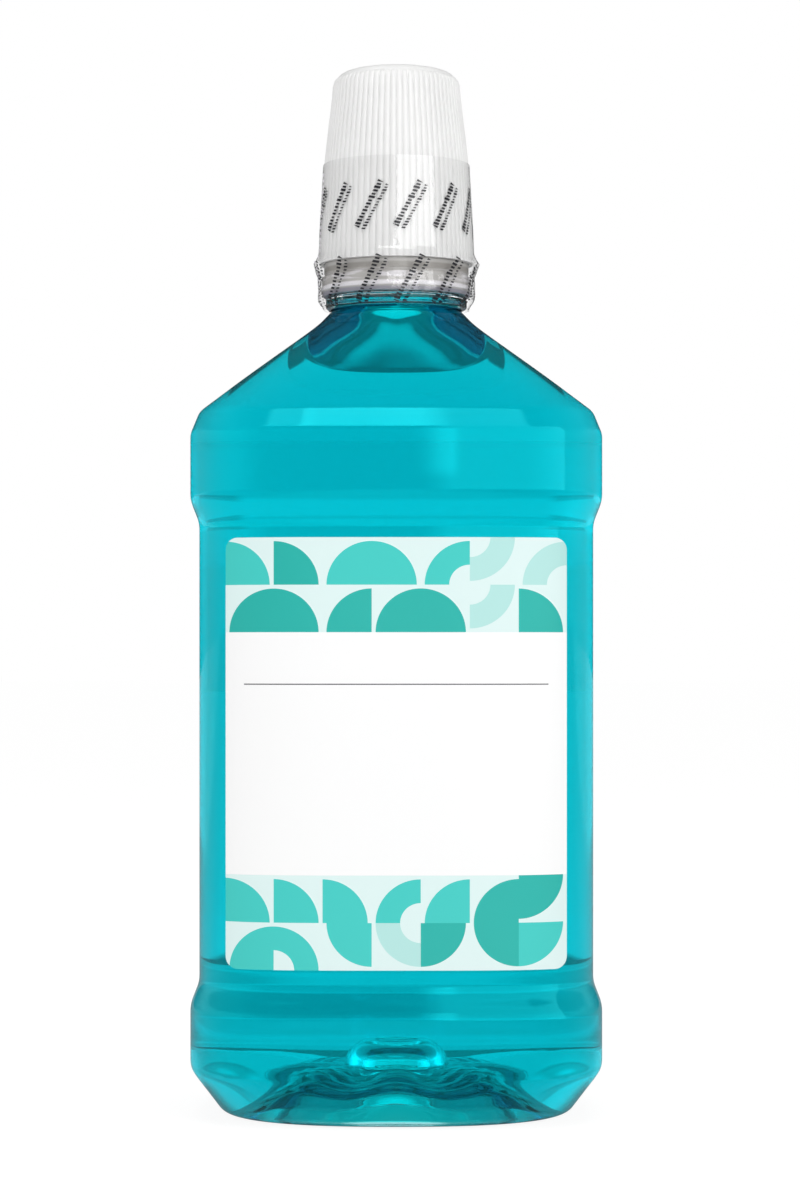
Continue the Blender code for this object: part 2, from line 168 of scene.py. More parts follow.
class Board:
    """The node tree of one material, world or modifier, with one method for every node."""

    def __init__(self, tree: bpy.types.NodeTree) -> None:
        """Start from an empty tree."""
        self.tree = tree
        tree.nodes.clear()

    def node(self, kind: str, inputs: Inputs | None = None, **settings: Any) -> bpy.types.Node:
        """Add a node.

        Args:
            kind: The node's type.
            inputs: A Wire or a value for each input, by name or number. None leaves it alone.
            settings: Its properties, set before its sockets.

        Returns:
            The new node.
        """
        made = self.tree.nodes.new(kind)
        for name, value in settings.items():
            setattr(made, name, value)
        for name, value in (inputs or {}).items():
            socket = made.inputs[name]
            if isinstance(value, Wire):
                self.tree.links.new(value.socket, socket)
            elif value is not None:
                socket.default_value = (*value, 1.0) if socket.type == "RGBA" else value
        return made

    def wires(self, *given: Any, **settings: Any) -> list[Wire]:
        """Add a node and return all its outputs as wires."""
        return [Wire(self, socket) for socket in self.node(*given, **settings).outputs]

    def wire(
        self, kind: str, inputs: Inputs | None = None, output: str | int = 0, **settings: Any
    ) -> Wire:
        """Add a node and return one of its outputs as a wire."""
        return Wire(self, self.node(kind, inputs, **settings).outputs[output])

    def mix(self, share: Wire, first: Wire | Colour, second: Wire | Colour) -> Wire:
        """Colour at a share of the way from the first to the second."""
        return self.wire("ShaderNodeMix", {0: share, 6: first, 7: second}, 2, data_type="RGBA")

    def place(self, kind: str = "Object") -> list[Wire]:
        """Coordinates of a kind, as three wires."""
        coordinates = self.wire("ShaderNodeTexCoord", None, kind)
        return self.wires("ShaderNodeSeparateXYZ", {0: coordinates})

    def ray(self, kind: str) -> Wire:
        """1 for rays of a kind."""
        return self.wire("ShaderNodeLightPath", None, f"Is {kind} Ray")

    def noise(self, scale: float, detail: float = 2.0, stretch: Triple = (1, 1, 1)) -> Wire:
        """Noise on object coordinates.

        Args:
            scale: Features per metre.
            detail: Octaves.
            stretch: Scale along each axis.

        Returns:
            The noise's value.
        """
        coordinates = self.wire("ShaderNodeTexCoord", None, "Object")
        mapped = self.wire("ShaderNodeMapping", {0: coordinates, "Scale": stretch})
        return self.wire("ShaderNodeTexNoise", {"Vector": mapped, "Scale": scale, "Detail": detail})

    def bump(self, height: Wire, distance: float) -> Wire:
        """Normal from a height, in metres where it is 1."""
        return self.wire("ShaderNodeBump", {"Height": height, "Distance": distance})

    def dress(self, inputs: Inputs, volume: Wire | None = None) -> None:
        """Send a Principled surface to the output, and a volume if there is one."""
        surface = self.wire("ShaderNodeBsdfPrincipled", inputs)
        self.node("ShaderNodeOutputMaterial", {"Surface": surface, "Volume": volume})


class Finish:
    """A material. Each kind says what it is in its own paint method."""

    name: str

    def paint(self, board: Board) -> None:
        """Build the nodes, with the output."""
        raise NotImplementedError

    def material(self) -> bpy.types.Material:
        """The material, made once and then shared.

        Returns:
            The material.
        """
        made = bpy.data.materials.get(self.name)
        if made is None:
            made = bpy.data.materials.new(self.name)
            made.use_nodes = True
            self.paint(Board(made.node_tree))
        return made


@dataclass(frozen=True)
class ClearPet(Finish):
    """Blown PET: clear, faintly teal, with the slow waviness of a blown wall."""

    name = "blown_pet"
    tint: Colour = (0.955, 0.995, 0.997)
    glint: Colour = (0.02, 0.95, 1.0)
    wave_scale: float = 26.0
    wave_stretch: Triple = (1.0, 1.0, 0.6)
    wave: float = 0.00004

    def paint(self, board: Board) -> None:
        """Clear glassy surface with a gentle bump.

        Args:
            board: The material's nodes.
        """
        waves = board.noise(self.wave_scale, 1.0, self.wave_stretch)
        board.dress(
            {
                "Base Color": self.tint,
                "Roughness": 0.015,
                "IOR": 1.5,
                "Transmission Weight": 1.0,
                "Specular Tint": self.glint,
                "Normal": board.bump(waves, self.wave),
            }
        )


@dataclass(frozen=True)
class TealLiquid(Finish):
    """Mouthwash: clear liquid that takes out the red and a little of the green."""

    name = "teal_mouthwash"
    density: float = 260.0
    passed: Colour = (0.0, 0.9658, 0.9758)
    glint: Colour = (0.0, 0.15, 0.15)

    def paint(self, board: Board) -> None:
        """Water-like surface round an absorbing volume.

        Args:
            board: The material's nodes.
        """
        depth = {"Color": self.passed, "Density": self.density}
        board.dress(
            {
                "Base Color": (1.0, 1.0, 1.0),
                "Roughness": 0.0,
                "IOR": 1.34,
                "Transmission Weight": 1.0,
                "Specular Tint": self.glint,
            },
            board.wire("ShaderNodeVolumeAbsorption", depth),
        )


@dataclass(frozen=True)
class LabelPrint(Finish):
    """Printed label film: two bands of quarter discs on mint round a bare white panel.

    Each cell of a band draws a corner and a shade, and the limits below say from which
    shade on a disc is bright, hollow or pale.
    """

    name = "label_print"
    foot: float = 0.0417
    top: float = 0.1557
    half_width: float = 0.0452
    band: float = 0.0250
    cell: float = 0.0125
    columns: int = 7
    rows_apart: int = 40
    draw: float = 3.0
    disc: float = 0.92
    hole: float = 0.42
    bright_from: float = 0.36
    hollow_from: float = 0.62
    pale_from: float = 0.80
    rule_height: float = 0.1170
    rule_width: float = 0.00028
    rule_reach: float = 0.0402
    grain_scale: float = 9000.0
    grain_depth: float = 0.000004
    roughness: Pair = (0.34, 0.42)
    mint: Colour = (0.745, 0.905, 0.890)
    deep: Colour = (0.016, 0.455, 0.402)
    bright: Colour = (0.052, 0.610, 0.560)
    pale: Colour = (0.470, 0.790, 0.755)
    white: Colour = (0.97, 0.97, 0.97)
    ink: Colour = (0.03, 0.035, 0.04)

    def discs(self, board: Board, along: Wire, rise: Wire) -> Wire:
        """Pattern of the bands.

        Args:
            board: The material's nodes.
            along: Place across the label, in columns.
            rise: Place up the label, in rows.

        Returns:
            The pattern's colour.
        """
        given = {0: along.floor(), 1: rise.floor(), 2: self.draw}
        cell = board.wire("ShaderNodeCombineXYZ", given)
        draw = board.wire("ShaderNodeTexWhiteNoise", {0: cell}, "Color", noise_dimensions="3D")
        flip_x, flip_z, shade = board.wires("ShaderNodeSeparateColor", {0: draw})
        corner_x = abs(along.fraction() - flip_x.over(0.5))
        corner_z = abs(rise.fraction() - flip_z.over(0.5))
        reach = (corner_x * corner_x + corner_z * corner_z) ** 0.5
        hollow = reach.under(self.hole) * shade.over(self.hollow_from)
        colour = board.mix(shade.over(self.bright_from), self.deep, self.bright)
        colour = board.mix(shade.over(self.pale_from), colour, self.pale)
        return board.mix(reach.under(self.disc) * (1.0 - hollow), self.mint, colour)

    def paint(self, board: Board) -> None:
        """Satin film with the print in its colour.

        Args:
            board: The material's nodes.
        """
        across, _, up = board.place()
        along = (across + self.half_width) * (self.columns / (2 * self.half_width))
        upper_foot = self.top - self.band
        shift = self.foot - upper_foot + self.rows_apart * self.cell
        rise = up - self.foot + up.over((self.foot + self.top) / 2) * shift
        band = self.discs(board, along, rise / self.cell)
        panel = up.over(self.foot + self.band) * up.under(upper_foot)
        rule = abs(up - self.rule_height).under(self.rule_width / 2) * abs(across).under(self.rule_reach)
        grain = board.noise(self.grain_scale)
        board.dress(
            {
                "Base Color": board.mix(panel, band, board.mix(rule, self.white, self.ink)),
                "Roughness": grain.between(*self.roughness),
                "IOR": 1.45,
                "Normal": board.bump(grain, self.grain_depth),
            }
        )


@dataclass(frozen=True)
class Mottled(Finish):
    """Opaque stuff whose tone, roughness and relief follow one noise, with a painted glow where one is given.
    """

    name: str
    colour: Colour
    other: Colour
    scale: float
    roughness: Pair
    soft: Pair = (0.35, 0.65)
    detail: float = 2.0
    relief: float = 0.0
    glow: float = 0.0

    def paint(self, board: Board) -> None:
        """Change from the colour to the other where the noise is high.

        Args:
            board: The material's nodes.
        """
        noise = board.noise(self.scale, self.detail)
        tone = board.mix(noise.ramp(*self.soft), self.colour, self.other)
        inputs = {"Base Color": tone, "Roughness": noise.between(*self.roughness)}
        # A glow is painted light: emission on a part that is no lamp.
        if self.glow:
            inputs.update({"Emission Color": tone, "Emission Strength": self.glow})
        if self.relief:
            inputs["Normal"] = board.bump(noise, self.relief)
        board.dress(inputs)


# The label's back glows with painted light, standing in for light that comes through the paper.
LABEL_BACKING_PAINTED_GLOW = Mottled(
    name="label_backing_painted_glow",
    colour=(0.85, 0.87, 0.87),
    other=(0.765, 0.783, 0.783),
    scale=140.0,
    roughness=(0.45, 0.55),
    detail=3.0,
    glow=0.42,
)
LINER_FOAM = Mottled(
    name="closed_cell_foam",
    colour=(0.86, 0.86, 0.82),
    other=(0.7396, 0.7396, 0.7052),
    scale=2600.0,
    roughness=(0.75, 0.85),
    soft=(0.4, 0.6),
    relief=0.00003,
)
TORN_FILM = Mottled(
    name="perforation_lips",
    colour=(0.66, 0.62, 0.70),
    other=(0.86, 0.82, 0.90),
    scale=1800.0,
    roughness=(0.2, 0.4),
    soft=(0.0, 1.0),
)


@dataclass(frozen=True)
class MouldedPlastic(Finish):
    """Moulded polypropylene: soft white, finely grained, a little light inside it."""

    name: str = "white_polypropylene"
    colour: Colour = (0.90, 0.90, 0.895)
    roughness: Pair = (0.32, 0.44)
    shade: Colour = (0.8685, 0.8685, 0.863675)
    soft: Pair = (0.35, 0.65)
    cloud_scale: float = 60.0
    grain_scale: float = 3500.0
    grain_depth: float = 0.000006
    light_depth: float = 0.002

    def tone(self, board: Board) -> Wire:
        """Colour over the moulding, with a slight change of tone."""
        return board.mix(board.noise(self.cloud_scale).ramp(*self.soft), self.colour, self.shade)

    def paint(self, board: Board) -> None:
        """Satin plastic with a moulded grain.

        Args:
            board: The material's nodes.
        """
        grain = board.noise(self.grain_scale, 3.0)
        board.dress(
            {
                "Base Color": self.tone(board),
                "Roughness": grain.between(*self.roughness),
                "IOR": 1.49,
                "Subsurface Weight": 0.15,
                "Subsurface Radius": (self.light_depth,) * 3,
                "Subsurface Scale": 0.6,
                "Normal": board.bump(grain, self.grain_depth),
            }
        )


@dataclass(frozen=True)
class NaturalPlastic(MouldedPlastic):
    """Undyed polypropylene with painted light: a painted highlight on the lip and in pale streaks up the
    wall, and painted shade in the groove and at the foot edge.

    Each ring runs from a height to a height over the foot, with soft ends of a length,
    and its last number is how much of its colour it takes.
    """

    name: str = "natural_polypropylene_painted_light"
    colour: Colour = (0.52, 0.505, 0.49)
    roughness: Pair = (0.24, 0.36)
    # The pale colour is a painted highlight, the next one painted shade in the groove, and the edge colour
    # painted shade at the foot edge.
    pale: Colour = (0.90, 0.88, 0.92)
    painted_shade_colour: Colour = (0.27, 0.255, 0.23)
    edge: Colour = (0.34, 0.335, 0.39)
    foot: float = 0.2231
    painted_shade_foot_rise: Pair = (0.0008, 0.0013)
    lip: Four = (0.0012, 0.0029, 0.0004, 0.9)
    wall: Four = (0.0031, 0.0062, 0.0006, 0.75)
    painted_shade_groove: Four = (0.0060, 0.0080, 0.0005, 0.7)
    streak_scale: float = 520.0
    streak_stretch: Triple = (0.25, 0.25, 1.6)
    streak_soft: Pair = (0.46, 0.62)

    def tone(self, board: Board) -> Wire:
        """Colour over the moulding, ring by ring from its foot, with painted highlight and painted shade.

        Args:
            board: The material's nodes.

        Returns:
            The colour.
        """
        rise = board.place()[2] - self.foot
        # Pale streaks of painted highlight on the wall, painted shade in the groove and at the foot edge, and
        # a painted highlight on the lip.
        painted_highlight_streaks = board.noise(self.streak_scale, 2.0, self.streak_stretch).ramp(*self.streak_soft)
        colour = board.mix(painted_highlight_streaks * rise.within(*self.wall), self.colour, self.pale)
        colour = board.mix(rise.within(*self.painted_shade_groove), colour, self.painted_shade_colour)
        colour = board.mix(rise.within(*self.lip), colour, self.pale)
        return board.mix(1.0 - rise.ramp(*self.painted_shade_foot_rise), colour, self.edge)


@dataclass(frozen=True)
class ShrinkFilm(Finish):
    """Clear shrink film with slanted printed strokes. The map runs in turns and metres.

    A stroke is a row of short ticks. Each has its place across the mark, its width, the
    pitch of its ticks and the least share of the pitch that is ink. The shift keeps the
    numbers of the ticks and marks above 0.
    """

    name = "clear_film"
    marks_round: float = 12.0
    first_turn: float = 0.7819
    radius: float = 0.0212
    rows: Pair = (0.2458, 0.2256)
    strokes: tuple[Four, ...] = (
        (0.0011, 0.0019, 0.0010, 0.46),
        (-0.0011, 0.0012, 0.0009, 0.34),
    )
    stroke_length: float = 0.0140
    duty_range: float = 0.25
    tick_widths: Pair = (0.5, 1.0)
    shift: float = 100.0
    slant: float = 1.05
    lean: float = 0.6
    fold_scale: float = 420.0
    crease_scale: float = 1500.0
    fold_share: float = 0.85
    crease_share: float = 0.15
    fold_depth: float = 0.00012
    snug_rise: Pair = (0.2285, 0.2365)
    loose_relief: float = 4.0
    roughness: float = 0.11
    sheen: float = 0.035
    edge_gloss: float = 0.4
    edge_power: float = 5.0
    most_gloss: float = 0.4
    bead_rise: Pair = (0.2205, 0.2235)
    bead_gloss: float = 0.4
    ink: Colour = (0.02, 0.02, 0.025)

    def ticks(self, board: Board, around: Wire, rise: Wire, stroke: Four) -> Wire:
        """One broken slanted stroke.

        Args:
            board: The material's nodes.
            around: Distance round the film from the mark's middle.
            rise: Distance up from the mark's middle.
            stroke: The stroke's entry in the table.

        Returns:
            1 on the ticks.
        """
        centre, width, pitch, duty = stroke
        along = around * math.cos(self.slant) + rise * math.sin(self.slant)
        across = rise * math.cos(self.slant) - around * math.sin(self.slant)
        count = along / pitch + across / width * self.lean + self.shift
        draw = board.wire("ShaderNodeTexWhiteNoise", {"W": count.floor()}, noise_dimensions="1D")
        inside = abs(across - centre).under(draw.between(*self.tick_widths) * width / 2)
        ends = abs(along).under(self.stroke_length / 2)
        return inside * ends * count.fraction().under(draw.between(duty, duty + self.duty_range))

    def paint(self, board: Board) -> None:
        """Mostly see-through film with gloss at its folds and ink in its marks.

        Args:
            board: The material's nodes.
        """
        turn, height, _ = board.place("UV")
        cell = ((turn - self.first_turn) * self.marks_round + (self.shift + 0.5)).fraction() - 0.5
        around = cell * (TAU * self.radius / self.marks_round)
        marks = reduce(
            Wire.most,
            (
                self.ticks(board, around, height - row, stroke)
                for row in self.rows
                for stroke in self.strokes
            ),
        )
        folds = board.noise(self.fold_scale, 2.0, (1.0, 1.0, 0.25))
        creases = board.noise(self.crease_scale, 2.0, (1.0, 1.0, 0.5))
        relief = height.ramp(*self.snug_rise).between(self.loose_relief, 1.0)
        film_relief = (folds * self.fold_share + creases * self.crease_share) * relief
        normal = board.bump(film_relief, self.fold_depth)
        facing = board.wire("ShaderNodeLayerWeight", {"Blend": 0.5, "Normal": normal}, "Facing")
        gloss = facing**self.edge_power * self.edge_gloss + self.sheen
        gloss = gloss.least(self.most_gloss)
        gloss = gloss * height.ramp(*self.bead_rise).between(self.bead_gloss, 1.0)
        clear = board.wire("ShaderNodeBsdfTransparent", {0: (1.0, 1.0, 1.0)})
        film = board.wire(
            "ShaderNodeBsdfAnisotropic",
            {"Color": (1.0, 1.0, 1.0), "Roughness": self.roughness, "Normal": normal},
        )
        ink = board.wire("ShaderNodeBsdfPrincipled", {"Base Color": self.ink, "Roughness": 0.3})
        skin = board.wire("ShaderNodeMixShader", {0: gloss, 1: clear, 2: film})
        printed = board.wire("ShaderNodeMixShader", {0: marks, 1: skin, 2: ink})
        board.node("ShaderNodeOutputMaterial", {"Surface": printed})


@dataclass(frozen=True)
class Knot:
    """One level outline of the bottle and how far its corner in the profile is rounded."""

    z: float
    half_width: float
    half_depth: float
    squareness: float = 2.0
    rib: float = 0.0
    rounding: float = 0.0

    @property
    def mean_radius(self) -> float:
        """Half the mean of the width and the depth."""
        return (self.half_width + self.half_depth) / 2

    def toward(self, other: Knot, share: float) -> Knot:
        """Knot at a share of the way to another one."""
        names = ("z", "half_width", "half_depth", "squareness", "rib")
        return Knot(*(blend(getattr(self, name), getattr(other, name), share) for name in names))

    def distance(self, other: Knot) -> float:
        """Distance to another knot along the mean profile."""
        return math.hypot(self.mean_radius - other.mean_radius, self.z - other.z)

    def ring(self, facets: int, ribs: int) -> list[Vector]:
        """Points all round the outline, closer together at its corners.

        Args:
            facets: Points in the ring.
            ribs: Waves of the ribs in the ring.

        Returns:
            The points.
        """
        points = []
        for index in range(facets):
            turn = TAU * index / facets
            turn += CROWDING * math.sin(4 * turn)
            across, along = math.cos(turn), math.sin(turn)
            total = abs(across) ** self.squareness + abs(along) ** self.squareness
            reach = total ** (-1 / self.squareness)
            height = self.z + self.rib * math.cos(ribs * turn)
            points.append(Vector((self.half_width * across * reach, self.half_depth * along * reach, height)))
        return points


def rounded(knots: Sequence[Knot], steps: int) -> list[Knot]:
    """Replace each corner that has a rounding by a short curve.

    Args:
        knots: The corners of the profile.
        steps: Pieces in each curve.

    Returns:
        The finer profile.
    """
    smooth = [knots[0]]
    for before, knot, after in zip(knots, knots[1:], knots[2:]):
        if knot.rounding == 0:
            smooth.append(knot)
            continue
        start = knot.toward(before, min(MOST_CUT, knot.rounding / knot.distance(before)))
        stop = knot.toward(after, min(MOST_CUT, knot.rounding / knot.distance(after)))
        for step in range(steps + 1):
            share = step / steps
            smooth.append(start.toward(knot, share).toward(knot.toward(stop, share), share))
    smooth.append(knots[-1])
    return smooth


def divided(knots: Sequence[Knot], longest: float) -> list[Knot]:
    """Split the stretches of a profile that change their outline.

    Args:
        knots: The profile.
        longest: Length up to which such a stretch stays whole.

    Returns:
        The finer profile.
    """
    fine = [knots[0]]
    for before, after in zip(knots, knots[1:]):
        plain = abs(before.half_width - after.half_width) < MM / 10
        count = 1 if plain else max(1, math.ceil(before.distance(after) / longest))
        fine += [before.toward(after, (step + 1) / count) for step in range(count)]
    return fine


def inset(knots: Sequence[Knot], wall_at: Callable[[Knot], float], rib_share: float) -> list[Knot]:
    """Move a profile in towards the inside of the bottle.

    Args:
        knots: The profile, from the middle of the base outwards and up.
        wall_at: Wall thickness at a knot.
        rib_share: How much of the ribs is left.

    Returns:
        The profile of the inside.
    """
    moved = []
    for index, knot in enumerate(knots):
        before = knots[max(index - 1, 0)]
        after = knots[min(index + 1, len(knots) - 1)]
        run = Vector((after.mean_radius - before.mean_radius, after.z - before.z))
        if run.length == 0:
            continue
        run.normalize()
        wall = wall_at(knot)
        moved.append(
            replace(
                knot,
                z=knot.z + run.x * wall,
                half_width=knot.half_width - run.y * wall,
                half_depth=knot.half_depth - run.y * wall,
                rib=knot.rib * rib_share,
            )
        )
    return moved


class Shape:
    """Vertices, faces and map of a mesh as it is put together."""

    def __init__(self) -> None:
        """Start empty."""
        self.points: list[Vector] = []
        self.faces: list[tuple[int, ...]] = []
        self.map: list[list[Pair]] = []

    def add_ring(self, ring: Iterable[Vector]) -> list[int]:
        """Add points and return their numbers.

        Args:
            ring: The points.

        Returns:
            Their numbers.
        """
        start = len(self.points)
        self.points += [Vector(point) for point in ring]
        return list(range(start, len(self.points)))

    def add_face(self, face: Sequence[int], height: float) -> None:
        """Add a face whose corners all lie at one place of the map."""
        self.faces.append(tuple(face))
        self.map.append([(0.0, height)] * len(face))

    def skin(self, rings: Sequence[Sequence[Vector]], closed: bool = True) -> list[list[int]]:
        """Join rings with quads.

        Args:
            rings: Rings of equal length. Faces point out where the rings run anticlockwise and up.
            closed: Whether the last point of a ring joins its first.

        Returns:
            The numbers of each ring's points.
        """
        loops = [self.add_ring(ring) for ring in rings]
        count = len(loops[0])
        for lower, upper in zip(loops, loops[1:]):
            for index in range(count if closed else count - 1):
                following = (index + 1) % count
                self.faces.append((lower[index], lower[following], upper[following], upper[index]))
                left, right = index / count, (index + 1) / count
                low, high = self.points[lower[index]].z, self.points[upper[index]].z
                self.map.append([(left, low), (right, low), (right, high), (left, high)])
        return loops

    def close_ends(self, loops: Sequence[Sequence[int]]) -> None:
        """Close the first and the last ring, each with a fan to its middle.

        Args:
            loops: The numbers of each ring's points.
        """
        for loop, up in ((loops[0], False), (loops[-1], True)):
            middle = sum((self.points[number] for number in loop), Vector()) / len(loop)
            centre = self.add_ring([middle])[0]
            for index, number in enumerate(loop):
                following = loop[(index + 1) % len(loop)]
                face = (number, following, centre) if up else (following, number, centre)
                self.add_face(face, middle.z)

    def close_ring(self, loops: Sequence[Sequence[int]]) -> None:
        """Join the last ring back to the first, as on a tube bent into a ring.

        Args:
            loops: The numbers of each ring's points.
        """
        first, last = loops[0], loops[-1]
        for index, number in enumerate(first):
            following = (index + 1) % len(first)
            self.add_face((last[index], last[following], first[following], number), self.points[number].z)

    def piece(self, name: str, finish: Finish, sharp: float = 40.0) -> bpy.types.Object:
        """Make the object.

        Args:
            name: The object's name.
            finish: What it is made of.
            sharp: Edges bent by more than this many degrees are drawn sharp.

        Returns:
            The new object, smooth shaded, with its map.
        """
        mesh = bpy.data.meshes.new(name)
        mesh.from_pydata([tuple(point) for point in self.points], [], self.faces)
        layer = mesh.uv_layers.new(name="UVMap")
        layer.data.foreach_set("uv", [part for face in self.map for corner in face for part in corner])
        mesh.validate()
        mesh.shade_smooth()
        mesh.set_sharp_from_angle(angle=math.radians(sharp))
        mesh.materials.append(finish.material())
        made = bpy.data.objects.new(name, mesh)
        bpy.context.scene.collection.objects.link(made)
        return made


def seat(piece: bpy.types.Object, body: Body, slot: Slot, *nodes: str) -> None:
    """Make a piece ride on its body and stand for its nodes.

    Args:
        piece: The object.
        body: The body it moves with.
        slot: Its material slot; not used.
        nodes: Nodes of the frame that it replaces.
    """
    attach(piece, body.value)
    if nodes:
        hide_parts(*nodes)
    log.info("%s rides on %s, %d faces", piece.name, body.value, len(piece.data.polygons))


def spot(radius: float, turn: float, height: float) -> Vector:
    """Point at a radius, a turn round the axis and a height."""
    return Vector((radius * math.cos(turn), radius * math.sin(turn), height))


def turned(outline: Sequence[Pair], facets: int, closed: bool) -> Shape:
    """Solid of revolution.

    Args:
        outline: Radii and heights, up the outer side and down the inner one.
        facets: Points round it.
        closed: Whether the outline is a loop that stays clear of the axis.

    Returns:
        The shape.
    """
    shape = Shape()
    turns = [TAU * index / facets for index in range(facets)]
    loops = shape.skin([[spot(radius, turn, height) for turn in turns] for radius, height in outline])
    if closed:
        shape.close_ring(loops)
    else:
        shape.close_ends(loops)
    return shape


def soft_outline(outline: Sequence[Triple], steps: int = 5) -> list[Pair]:
    """Outline with rounded corners, from radii, heights and corner roundings."""
    knots = [Knot(height, radius, radius, rounding=rounding) for radius, height, rounding in outline]
    return [(knot.half_width, knot.z) for knot in rounded(knots, steps)]


@dataclass
class BottleBody:
    """Blown bottle and the liquid in it.

    The dome's table holds drops from its top, radii and roundings in millimetres. The
    shoulder's shares run from the bevel to the neck: height, width and depth.
    """

    bumper_half: Pair = (0.056, 0.0415)
    panel_inset: float = 0.0024
    foot_insets: Pair = (0.0078, 0.0036)
    foot_rounding: float = 0.0018
    standing_width: float = 0.0040
    foot_height: float = 0.0140
    lower_bumper: float = 0.0160
    taper: float = 0.0062
    panel: float = 0.1242
    upper_bumper: float = 0.0178
    bevel_height: float = 0.0060
    bevel_inset: float = 0.0024
    shoulder: float = 0.0285
    neck_radius: float = 0.0180
    neck_flare: float = 0.0011
    bead_radius: float = 0.0194
    bead_rise: float = 0.0008
    bead_height: float = 0.0028
    finish_radius: float = 0.0173
    bore_radius: float = 0.0153
    wall: float = 0.0007
    base_wall: float = 0.0018
    base_gain: float = 1.6
    overlap: float = 0.0001
    lip_step: float = 0.0004
    meniscus: Pair = (0.0010, 0.0005)
    meniscus_start: float = 0.0006
    punt: float = 0.0190
    dome: tuple[Triple, ...] = (
        (2.6, 0.2, 0.0),
        (2.4, 4.5, 1.5),
        (0.0, 7.5, 2.2),
        (2.2, 11.6, 2.0),
        (7.0, 13.0, 2.0),
    )
    ribs: int = 8
    rib_depth: float = 0.0011
    inner_rib_share: float = 0.45
    rib_power: float = 0.8
    ripples: int = 15
    ripple_depth: float = 0.00022
    ripple_change: Triple = (0.6, 0.4, 2.3)
    ripple_rounding: float = 0.0009
    hollow_power: float = 4.5
    hollow_ends: Pair = (0.93, 0.06)
    facets: int = 192
    squareness: float = 4.0
    foot_squareness: float = 2.5
    foot_shares: tuple[Pair, ...] = ((0.42, 0.56), (0.84, 0.10))
    shoulder_shares: tuple[Triple, ...] = ((0.34, 0.35, 0.35), (0.62, 0.655, 0.655), (0.86, 0.92, 0.92))
    thread_start: float = 0.2290
    thread_turns: float = 1.75
    thread_depth: float = 0.0011
    heights: dict[str, float] = field(default_factory=dict)

    def __post_init__(self) -> None:
        """Add up the heights."""
        at = self.heights
        at["bumper_top"] = self.foot_height + self.lower_bumper
        at["panel_foot"] = at["bumper_top"] + self.taper
        at["panel_top"] = at["panel_foot"] + self.panel
        at["upper"] = at["panel_top"] + self.taper
        at["bevel"] = at["upper"] + self.upper_bumper
        at["shoulder"] = at["bevel"] + self.bevel_height
        at["neck"] = at["shoulder"] + self.shoulder
        at["bead"] = at["neck"] + self.bead_rise
        at["bead_top"] = at["bead"] + self.bead_height
        at["lip"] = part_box("bottle")[1].z
        at["liquid"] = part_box("mouthwash")[1].z

    def body_knot(self, z: float, insets: Pair, rounding: float, squareness: float = 0.0) -> Knot:
        """Knot whose sides stand in from the bumpers, with the body's squareness or its own."""
        width, depth = (half - inset for half, inset in zip(self.bumper_half, insets))
        return Knot(z, width, depth, squareness or self.squareness, 0.0, rounding)

    def round_knot(self, z: float, radius: float, rounding: float = 0.0) -> Knot:
        """Round knot."""
        return Knot(z, radius, radius, 2.0, 0.0, rounding)

    def base(self) -> list[Knot]:
        """Outside of the base: gate dimple, dome, ribbed hollow and standing ring.

        Returns:
            The profile.
        """
        rim = tuple(part + self.foot_rounding for part in self.foot_insets)
        hollow = tuple(part + self.standing_width for part in rim)
        standing = self.body_knot(0.0, hollow, 1.6 * MM, self.foot_squareness)
        knots = [
            self.round_knot(self.punt - drop * MM, radius * MM, rounding * MM)
            for drop, radius, rounding in self.dome
        ]
        dome_foot = knots[-1]
        steady, change, beat = self.ripple_change
        for step in range(self.ripples + 1):
            way = blend(*self.hollow_ends, step / self.ripples)
            swell = self.ripple_depth * (-1) ** step * (steady + change * math.sin(beat * step))
            rib = self.rib_depth * math.sin(math.pi * way**self.rib_power)
            height = dome_foot.z * (1 - (1 - way) ** self.hollow_power) + swell
            ripple = standing.toward(dome_foot, way)
            knots.append(replace(ripple, z=height, rib=rib, rounding=self.ripple_rounding))
        return [*knots, standing, self.body_knot(0.0, rim, 1.2 * MM, self.foot_squareness)]

    def side(self) -> list[Knot]:
        """Outside from the foot to the top of the shoulder.

        Returns:
            The profile.
        """
        at = self.heights
        foot = self.body_knot(self.foot_rounding / 2, self.foot_insets, 1.0 * MM, self.foot_squareness)
        bumper = self.body_knot(self.foot_height, (0.0, 0.0), 1.5 * MM)
        knots = [foot]
        for rise, left in self.foot_shares:
            height = blend(foot.z, bumper.z, rise)
            knots.append(replace(bumper.toward(foot, left), z=height, rounding=2.5 * MM))
        knots.append(bumper)
        for name, inset_by, rounding in (
            ("bumper_top", 0.0, 1.8),
            ("panel_foot", self.panel_inset, 1.8),
            ("panel_top", self.panel_inset, 1.8),
            ("upper", 0.0, 1.8),
            ("bevel", 0.0, 1.0),
            ("shoulder", self.bevel_inset, 1.2),
        ):
            knots.append(self.body_knot(at[name], (inset_by,) * 2, rounding * MM))
        bevel = knots[-1]
        flare = self.round_knot(at["neck"], self.neck_radius + self.neck_flare)
        for rise, wide, deep in self.shoulder_shares:
            depth = blend(bevel.half_depth, flare.half_depth, deep)
            height = blend(bevel.z, flare.z, rise)
            knot = bevel.toward(flare, wide)
            knots.append(replace(knot, z=height, half_depth=depth, rounding=5.0 * MM))
        knots.append(self.round_knot(at["neck"] - self.neck_flare, flare.half_width, 1.2 * MM))
        knots.append(self.round_knot(at["neck"], self.neck_radius, 0.5 * MM))
        return knots

